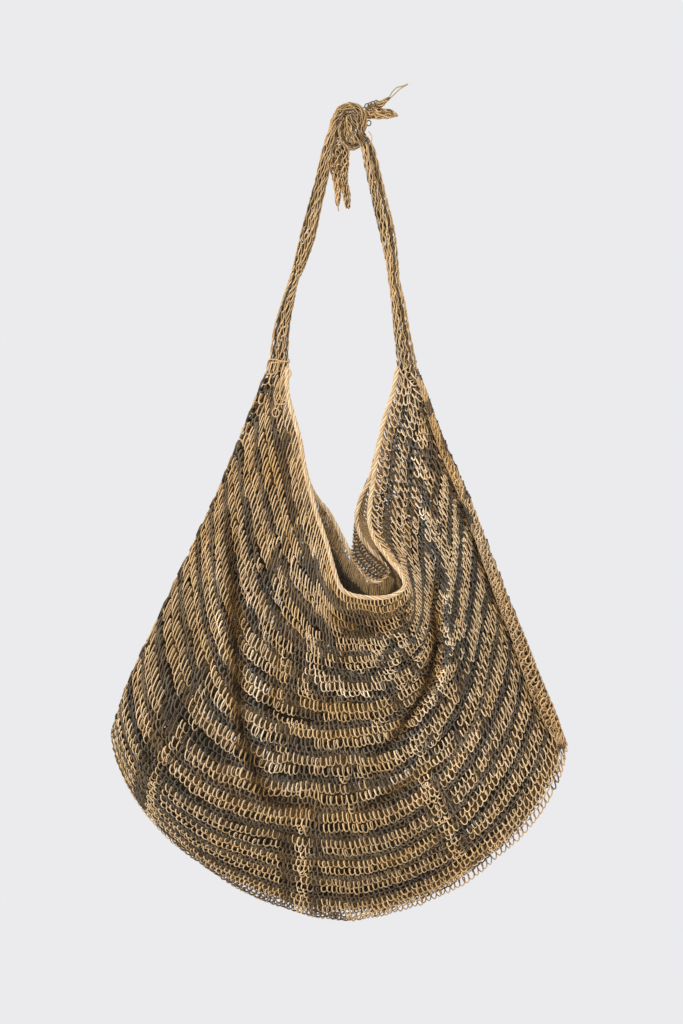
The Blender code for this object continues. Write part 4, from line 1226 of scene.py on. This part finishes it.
# Free ends: x, z, y, width and thickness.
TAIL_DOWN_TIPS = [
    [(-16.5, 29.0, 3.5, 13.0, 7.5), (-19.0, 16.0, 4.0, 17.0, 9.0), (-21.5, -6.0, 4.0, 17.5, 8.0),
     (-23.0, -20.0, 4.0, 16.0, 8.0), (-21.5, -34.0, 3.0, 11.5, 7.5), (-20.5, -50.0, 2.0, 8.5, 6.5),
     (-20.5, -64.0, 2.0, 5.0, 4.5)],
    [(-12.0, 12.0, 4.0, 12.0, 9.0), (-12.5, -10.0, 4.0, 12.0, 8.5), (-13.0, -34.0, 3.0, 9.5, 8.0),
     (-10.5, -50.0, 2.0, 10.0, 8.0), (-8.0, -67.0, 2.0, 7.0, 6.0)],
]
TAIL_SIDE_TIPS = [
    [(9.0, 47.5, 3.0, 14.5, 8.0), (18.0, 47.0, 2.0, 15.0, 8.0), (28.0, 46.5, 0.0, 14.5, 7.5),
     (40.0, 46.0, -1.0, 13.0, 7.0), (50.5, 43.5, -2.0, 4.5, 4.0)],
    [(16.0, 51.0, 2.0, 11.0, 7.0), (24.0, 54.0, 1.0, 12.0, 7.0), (33.0, 59.0, 0.0, 8.0, 6.0),
     (41.0, 65.0, -1.0, 2.6, 2.6)],
]
# The front's right edge rolls forward in a tube that widens on its way down.
ROLLED_EDGE = [
    (74.0, -270.0, -5.0, 6.0, 6.0, 0.0), (83.0, -289.0, -6.0, 7.5, 7.5, 0.0),
    (97.0, -334.0, -9.0, 9.5, 8.5, 0.0), (112.5, -373.0, -10.0, 10.5, 9.0, 0.0),
    (133.5, -420.0, -11.0, 12.0, 9.5, 0.0), (150.5, -466.0, -11.0, 13.0, 10.0, 0.0),
    (177.5, -539.0, -11.0, 15.5, 10.5, 0.0), (195.0, -581.0, -11.0, 17.0, 11.0, 0.0),
    (213.5, -632.0, -11.0, 20.0, 11.0, 0.0), (231.0, -673.0, -9.0, 20.0, 10.0, 0.0),
    (245.0, -702.0, -5.0, 12.0, 7.0, 0.0), (249.0, -716.0, -3.0, 5.0, 4.0, 0.0),
]


# %% A guide for a band
YARN_INSET = 0.9         # the guide lies this far inside the band's outer form, mm
BAND_AROUND = 33


def band_guide(name, stations, scale=1.0, bands=()):
    """A tube with an oval section through the stations. Its courses run along it."""
    rows = smooth_route(stations, BAND_WIDE)
    middle = rows[:, [0, 2, 1]]
    forward = unit(np.gradient(middle, axis=0))
    across = unit(np.stack([forward[:, 2], 0 * forward[:, 0], -forward[:, 0]], axis=1))
    through = np.cross(forward, across)
    turn = np.radians(rows[:, 5])[:, None]
    wide = across * np.cos(turn) + through * np.sin(turn)
    deep = through * np.cos(turn) - across * np.sin(turn)
    half_wide = (rows[:, 3:4] / 2 - YARN_INSET) * scale
    half_deep = (rows[:, 4:5] / 2 - YARN_INSET) * scale
    u = np.linspace(-U_MARGIN, 1 + U_MARGIN, BAND_WIDE)
    v = np.linspace(-V_MARGIN, 1 + V_MARGIN, BAND_AROUND)
    angle = (2 * math.pi * v)[:, None, None]
    points = middle + wide * half_wide * np.cos(angle) + deep * half_deep * np.sin(angle)
    outward = unit(wide * np.cos(angle) / half_wide + deep * np.sin(angle) / half_deep)
    shape = points.shape[:2]
    band, warmth = dye_plan(bands, points[:, :, 0].ravel(), points[:, :, 2].ravel())
    return guide_mesh(name, points, outward, u, v, (band.reshape(shape), warmth.reshape(shape)))


# %% The meshes of a band
BAND_LOOKS = {"steps": 8, "closed": 1.0, "swing": 0.04, "height": 0.36, "depth": 0.0005, "unevenness": 1.3,
              "tan_share": 0.8, "stripe_courses": 7.0, "yarn_radius": 0.00086, "dark_yarn_thicker": 0.1,
              "shade": 0.84}
# What is different in the core: a little more dyed yarn, and a low shade that paints it dark as painted
# shade.
CORE_LOOKS = {"steps": 6, "tan_share": 0.75, "yarn_radius": 0.0018, "height": 0.5, "shade": 0.42}
CORE_SCALE = 0.55        # the core's section, as a share of the band's
CORE_SEED = 20.0         # added to the band's seed


def banded_yarn(name, stations, courses, pitch, core_courses, seed, bands=(), **sizes):
    """Meshes of a band: outer loops, and a core of strands painted darker as shade. A loop takes one pitch,
    in mm.
    """
    loops = max(2, round(route_length(stations) / pitch))
    looks = {**BAND_LOOKS, **sizes}
    guide = band_guide(f"{name}_guide", stations, bands=bands)
    outer = looped_mesh(name, guide, courses, loops, seed=seed, **looks)
    looks.update(CORE_LOOKS)
    guide = band_guide(f"{name}_core", stations, CORE_SCALE)
    core = looped_mesh(name, guide, core_courses, loops, seed=seed + CORE_SEED, **looks)
    return [outer, core]


# %% Straps
STRAP_COURSES = 21
STRAP_CORE = 7           # courses in the core
STRAP_PITCH = 15.0       # mm of strap that one drawn-out loop takes
STRAP_LAYERS = 2         # the strap's net is this many times as wide as its girth
# For each half of the strap: its solid, its stations, its seed, and where its stripes start.
STRAPS = {
    "strap_left_yarn": ("strap_left", STRAP_LEFT, 2.0, 1.0),
    "strap_right_yarn": ("strap_right", STRAP_RIGHT, 3.0, 3.0),
}


def girth(stations):
    """Mean length round a band's oval section, mm."""
    rows = np.array(stations)
    half_wide, half_deep = rows[:, 3] / 2, rows[:, 4] / 2
    return float((2 * math.pi * np.sqrt((half_wide ** 2 + half_deep ** 2) / 2)).mean())


for name, (node, stations, seed, start) in STRAPS.items():
    meshes = banded_yarn(name, stations, STRAP_COURSES, STRAP_PITCH, STRAP_CORE, seed, stripe_start=start)
    piece = yarn_object(name, meshes)
    own(piece, node)
    flat = (route_length(stations) * MM, STRAP_LAYERS * girth(stations) * MM)
    print(name, "flat, m:", [round(side, 3) for side in flat])

# %% [markdown]
# ## Knot and free ends
#
# Single yarns stray out of the knot and the free ends. They are short, so each is a plain tube along a smooth
# route, and they are joined to the piece that they come out of.

# %% Tubes of single yarn
TUBE_SIDES = 6
TUBE_POINTS = 40
TUBE_TURNS = [2 * math.pi * i / TUBE_SIDES for i in range(TUBE_SIDES)]
STRAY_RADIUS = 0.7       # mm
STRAY_SHADE = 0.85
NEVER_ALONG = (0.0, 1.0, 0.03)    # a direction that no single yarn runs in
RING_POINTS = 8


def tube_points(route, radius):
    """Rings of points round a route of x, z, y in mm. A route that ends where it starts is closed."""
    closed = route[0] == route[-1]
    line = smooth_route(route[:-1] if closed else route, TUBE_POINTS - closed, closed=closed)
    middle = line[:, [0, 2, 1]]
    if closed:
        middle = np.vstack([middle, middle[:1]])
    forward = unit(np.gradient(middle, axis=0))
    if closed:
        forward[[0, -1]] = unit(middle[1] - middle[-2])
    across = unit(np.cross(forward, NEVER_ALONG))
    through = np.cross(forward, across)
    return [[middle[k] + (across[k] * math.cos(a) + through[k] * math.sin(a)) * radius for a in TUBE_TURNS]
            for k in range(TUBE_POINTS)]


def tube_faces(base):
    """Walls and caps of a tube whose points are numbered from base."""
    faces = []
    for at in range(base, base + (TUBE_POINTS - 1) * TUBE_SIDES, TUBE_SIDES):
        for i in range(TUBE_SIDES):
            j = (i + 1) % TUBE_SIDES
            faces.append((at + i, at + j, at + TUBE_SIDES + j, at + TUBE_SIDES + i))
    faces.append(tuple(base + i for i in reversed(range(TUBE_SIDES))))
    faces.append(tuple(base + (TUBE_POINTS - 1) * TUBE_SIDES + i for i in range(TUBE_SIDES)))
    return faces


def single_yarns(name, routes, radius, tone=1.0, warmth=0.0):
    """A mesh of single yarns along routes."""
    points, faces = [], []
    for route in routes:
        faces += tube_faces(len(points) * TUBE_SIDES)
        points += tube_points(route, radius)
    mesh = bpy.data.meshes.new(name)
    mesh.from_pydata((np.array(points).reshape(-1, 3) * MM).tolist(), [], faces)
    shape = bmesh.new()
    shape.from_mesh(mesh)
    bmesh.ops.recalc_face_normals(shape, faces=shape.faces)
    shape.to_mesh(mesh)
    shape.free()
    mesh.shade_smooth()
    mesh.materials.append(NET_YARN)
    count = len(mesh.vertices)
    store(mesh, "dye", np.tile((tone, warmth, STRAY_SHADE), (count, 1)))
    store(mesh, "lie", np.tile((0.0, -1.0, 0.0), (count, 1)))
    map_yarn(mesh, TUBE_POINTS, TUBE_SIDES, 1)
    return mesh


def ringlet(x, z, y, wide, high):
    """The closed route of a small ring of yarn."""
    turns = [2 * math.pi * i / RING_POINTS for i in range(RING_POINTS)]
    points = [(x + wide * math.cos(a), z + high * math.sin(a), y) for a in turns]
    return [*points, points[0]]


# %% Knot
KNOT_PITCH = 12.0        # mm of a turn that one loop takes
# painted shade: the knot's yarn is painted darker than the straps', because it is denser
KNOT_SHADE = 0.68
KNOT_SEED = 4.0
STRIPES_MOVE = 1.3       # courses by which the stripes move from one turn to the next
# For each turn: its stations, and the courses round it and in its core.
KNOT_TURNS = {"arch": (KNOT_ARCH, 16, 4), "curl": (KNOT_CURL, 16, 4), "fan": (KNOT_FAN, 24, 7),
              "behind": (KNOT_BACK, 18, 5)}
KNOT_RINGLETS = [
    ringlet(16.5, 34.5, -2.0, 2.6, 3.2), ringlet(14.5, 54.5, -2.0, 2.8, 3.4),
    ringlet(18.0, 56.0, -1.5, 2.4, 3.2), ringlet(21.5, 57.5, -2.0, 2.6, 3.0),
    ringlet(25.5, 59.0, -1.5, 2.4, 2.8),
]
KNOT_LOOP = [(16.0, 25.0, -4.0), (20.0, 18.0, -5.0), (19.0, 12.0, -5.0), (14.0, 6.0, -4.0)]
knot_meshes = []
for number, (name, (turn, courses, core)) in enumerate(KNOT_TURNS.items()):
    stations = [(x, z, y, 2 * radius, 2 * radius, 0.0) for x, z, y, radius in turn]
    knot_meshes += banded_yarn(f"knot_{name}", stations, courses, KNOT_PITCH, core, KNOT_SEED + number,
                               stripe_start=number * STRIPES_MOVE, shade=KNOT_SHADE)
knot_meshes.append(single_yarns("ringlets", KNOT_RINGLETS, STRAY_RADIUS, tone=0.0, warmth=0.2))
knot_meshes.append(single_yarns("slack_loop", [KNOT_LOOP], STRAY_RADIUS))
knot = yarn_object("strap_knot_yarn", knot_meshes)
own(knot, "strap_knot")

# %% Free ends
TAIL_COURSES = 11        # round each tip
TAIL_CORE = 4            # in its core
TAIL_PITCH = 10.0        # mm of a tip that one loop takes
TIP_STRIPES_MOVE = 2.0   # courses by which the stripes move from one tip to the next
STRAYS_DOWN = [[(-20.0, -60.0, 1.0), (-20.5, -66.0, 0.5), (-19.5, -71.0, 0.0)]]
STRAYS_SIDE = [
    [(40.0, 63.0, -1.0), (44.0, 71.0, -1.5), (50.0, 77.0, -2.0), (57.0, 79.0, -2.0), (63.5, 81.5, -2.0)],
    [(39.0, 62.0, -1.0), (46.0, 68.0, -1.0), (54.0, 75.5, -1.5), (63.0, 81.0, -1.5)],
]
# For each free end: its solid, its tips, its stray yarns and its seed.
TAILS = {
    "tail_down_yarn": ("tail_down", TAIL_DOWN_TIPS, STRAYS_DOWN, 11.0),
    "tail_side_yarn": ("tail_side", TAIL_SIDE_TIPS, STRAYS_SIDE, 15.0),
}
for name, (node, tips, strays, seed) in TAILS.items():
    meshes = [single_yarns(f"{name}_strays", strays, STRAY_RADIUS, tone=0.6)]
    for number, tip in enumerate(tips):
        stations = [(*row, 0.0) for row in tip]
        meshes += banded_yarn(name, stations, TAIL_COURSES, TAIL_PITCH, TAIL_CORE, seed + number,
                              stripe_start=TIP_STRIPES_MOVE * number)
    tail = yarn_object(name, meshes)
    own(tail, node)
    size = sum(route_length(tip) * STRAP_LAYERS * girth(tip) for tip in tips) * MM * MM
    longest = max(route_length(tip) for tip in tips) * MM
    size / longest
    print(name, "flat, m:", round(longest, 3), round(size / longest, 3))

# %% [markdown]
# ## The rolled edge
#
# Along the right side the net rolls forward over itself in a soft tube with its loops drawn out along the
# edge. It is mostly undyed, with slate where the roll takes in a dyed course.

# %% Rolled edge
ROLL_COURSES = 12
ROLL_CORE = 5            # courses in the core
ROLL_PITCH = 8.5         # mm of the edge that one loop takes
ROLL_SEED = 17.0
ROLL_LAYERS = 1.8        # the rolled net is this many times as wide as the roll's girth
ROLL_LOOKS = {"tan_share": 1.1, "swing": 0.24, "slant": 0.1, "height": 0.75, "unevenness": 1.1}
ROLL_BANDS = [
    (DARK, 5.0, [(89, -302), (91, -316)]), (DARK, 5.0, [(108, -346), (110, -358)]),
    (DARK, 5.0, [(136, -402), (137, -416)]), (DARK, 6.0, [(130, -430), (139, -446)]),
]
roll_meshes = banded_yarn("net_rolled_edge", ROLLED_EDGE, ROLL_COURSES, ROLL_PITCH, ROLL_CORE, ROLL_SEED,
                          ROLL_BANDS, **ROLL_LOOKS)
roll = yarn_object("net_rolled_edge", roll_meshes)
own(roll, "bag_body")
roll_flat = (route_length(ROLLED_EDGE) * MM, ROLL_LAYERS * girth(ROLLED_EDGE) * MM)
print("rolled edge flat, m:", [round(side, 3) for side in roll_flat])

# %% [markdown]
# ## The binding of the mouth
#
# Four yarns are laid round each other along the mouth edge, and the first course of loops hangs on them. The
# same tree lays them: a course with no height and no swing is a straight yarn, and `Winds` leads it round the
# guide like the strands of a rope.

# %% Binding
BINDING_STRANDS = 4
BINDING_LAY = 28.0       # mm of cord that one turn of a strand takes
BINDING_WIDE = 900       # points along the guide
BINDING_AROUND = 13      # and round it
BINDING_LOOKS = {"steps": 16, "sides": 6, "strips": 24, "seed": 21.0, "unevenness": 0.4, "height": 0.0,
                 "swing": 0.0, "depth": 0.0, "closed": 1.0, "tan_share": 1.1}
STRAND_RADIUS = 1.25     # mm
PALER = -0.6             # warmth of the binding's yarn


def ring_guide(name, route, radius):
    """A round tube along a closed route of x, z, y in mm, overlapping a little where it closes."""
    count = len(route)
    pad = math.ceil(count * U_MARGIN)
    index = np.arange(-pad, count + pad + 1)
    middle = np.array(route)[:, [0, 2, 1]]
    forward = unit(np.roll(middle, -1, axis=0) - np.roll(middle, 1, axis=0))
    across = unit(np.cross(forward, (0.0, 1.0, 0.0)))
    through = np.cross(forward, across)
    middle, across, through = (part[index % count] for part in (middle, across, through))
    v = np.linspace(-V_MARGIN, 1 + V_MARGIN, BINDING_AROUND)
    angle = (2 * math.pi * v)[:, None, None]
    outward = across * np.cos(angle) + through * np.sin(angle)
    shape = outward.shape[:2]
    plan = (np.zeros(shape), np.full(shape, PALER))
    return guide_mesh(name, middle + outward * radius, outward, index / count, v, plan)


rim_route = smooth_route(FRONT_RIM + BACK_RIM[::-1], BINDING_WIDE, closed=True)
rim_length = route_length(rim_route)
rim_turns = round(rim_length / BINDING_LAY)
binding_guide = ring_guide("binding_guide", rim_route, BINDING_RADIUS - STRAND_RADIUS)
binding_mesh = looped_mesh("binding_yarn", binding_guide, BINDING_STRANDS, rim_turns,
                           winds=float(rim_turns), yarn_radius=STRAND_RADIUS * MM, **BINDING_LOOKS)
binding = yarn_object("binding_yarn", [binding_mesh])
own(binding, "mouth_binding")
print("binding, mm long:", round(rim_length))

# %% [markdown]
# ## The joining yarn
#
# Two turns of yarn hold the foot of the left strap, with slack loops below them.

# %% Joining yarn at the foot of the left strap
JOINING_RADIUS = 0.75    # mm
FOOT_X, FOOT_Z = -91.0, -250.3                  # the middle of the strap's foot
FOOT_HALF_WIDE, FOOT_HALF_DEEP = 11.6, 5.6
TURN_POINTS = 10
# For each turn: how far it lies below the first, how far it slants, and how far it stands off the foot.
FOOT_TURNS = [(0.0, 1.5, 1.0), (2.0, -0.8, 0.6)]
SLACK_LOOPS = [
    ringlet(-80.0, -266.0, -8.0, 3.4, 4.8),
    [(-84.0, -268.0, -8.5), (-92.0, -279.0, -9.5), (-97.0, -291.0, -10.0), (-94.0, -302.0, -10.0),
     (-84.0, -302.0, -9.5), (-79.5, -294.0, -9.0)],
    [(-86.0, -270.0, -9.0), (-90.0, -284.0, -10.5), (-88.0, -296.0, -10.0), (-80.0, -300.0, -9.0)],
    ringlet(-95.0, -313.0, -10.5, 4.2, 5.2),
    [(-83.0, -300.0, -9.0), (-77.5, -299.0, -9.0), (-76.5, -303.5, -9.0), (-80.0, -306.0, -8.5)],
]


def foot_turn(below, slant, off):
    """The closed route of one turn of yarn round the strap's foot."""
    turns = [2 * math.pi * i / TURN_POINTS for i in range(TURN_POINTS)]
    route = [(FOOT_X + (FOOT_HALF_WIDE + off) * math.cos(a), FOOT_Z - below + slant * math.sin(2 * a),
              (FOOT_HALF_DEEP + off) * math.sin(a)) for a in turns]
    return [*route, route[0]]


joining_routes = [foot_turn(*row) for row in FOOT_TURNS] + SLACK_LOOPS
joining_mesh = single_yarns("joining_yarn_turns", joining_routes, JOINING_RADIUS)
joining = yarn_object("joining_yarn_turns", [joining_mesh])
own(joining, "joining_yarn")
print("added triangles in all:", sum(TRIANGLES.values()))

# %% [markdown]
# ## Camera and light
#
# The bag hangs in front of nothing, seen square on from far away, in even light from a pale room with one
# large soft lamp high on the left. The floor is a plain pale disc below.

# %% Camera and room
VIEW_HIGH = 1.2288       # metres that the view takes in from top to bottom
VIEW_MIDDLE = Vector((-0.0162, 0.0, -0.432))
CAMERA_AWAY = 5.0
SENSOR = 36.0
ROOM = (0.83, 0.83, 0.847, 1.0)

camera = bpy.data.objects.new("camera", bpy.data.cameras.new("camera"))
camera.data.sensor_width = SENSOR
camera.data.lens = SENSOR * CAMERA_AWAY / VIEW_HIGH
camera.location = VIEW_MIDDLE + Vector((0.0, -CAMERA_AWAY, 0.0))
camera.rotation_euler = (math.pi / 2, 0.0, 0.0)
bpy.context.scene.collection.objects.link(camera)
bpy.context.scene.camera = camera

world = bpy.data.worlds.new("pale_room")
world.use_nodes = True
world.node_tree.nodes["Background"].inputs["Color"].default_value = ROOM
world.node_tree.nodes["Background"].inputs["Strength"].default_value = 1.0
bpy.context.scene.world = world
bpy.context.scene.view_settings.view_transform = "Standard"

# %% Lamp
LAMP_PLACE = Vector((-1.4, -2.2, 0.9))
LAMP_AIM = Vector((-0.02, 0.0, -0.55))
LAMP_SIZE = 1.2          # metres
LAMP_WATTS = 45.0

light = bpy.data.lights.new("key", "AREA")
light.size = LAMP_SIZE
light.energy = LAMP_WATTS
lamp = bpy.data.objects.new("key", light)
lamp.location = LAMP_PLACE
lamp.rotation_euler = (LAMP_AIM - LAMP_PLACE).to_track_quat("-Z", "Y").to_euler()
bpy.context.scene.collection.objects.link(lamp)

# %% Floor
FLOOR_LEVEL = -1.3
FLOOR_RADIUS = 1.1
FLOOR_SIDES = 96
FLOOR_COLOUR = (0.8, 0.8, 0.8, 1.0)

turns = [2 * math.pi * i / FLOOR_SIDES for i in range(FLOOR_SIDES)]
edge = [(FLOOR_RADIUS * math.cos(a), FLOOR_RADIUS * math.sin(a), FLOOR_LEVEL) for a in turns]
floor_mesh = bpy.data.meshes.new("floor")
floor_mesh.from_pydata(edge, [], [tuple(range(FLOOR_SIDES))])
floor = bpy.data.objects.new("floor", floor_mesh)
bpy.context.scene.collection.objects.link(floor)
floor_paint = bpy.data.materials.new("pale_floor")
floor_paint.use_nodes = True
floor_paint.node_tree.nodes["Principled BSDF"].inputs["Base Color"].default_value = FLOOR_COLOUR
floor_mesh.materials.append(floor_paint)
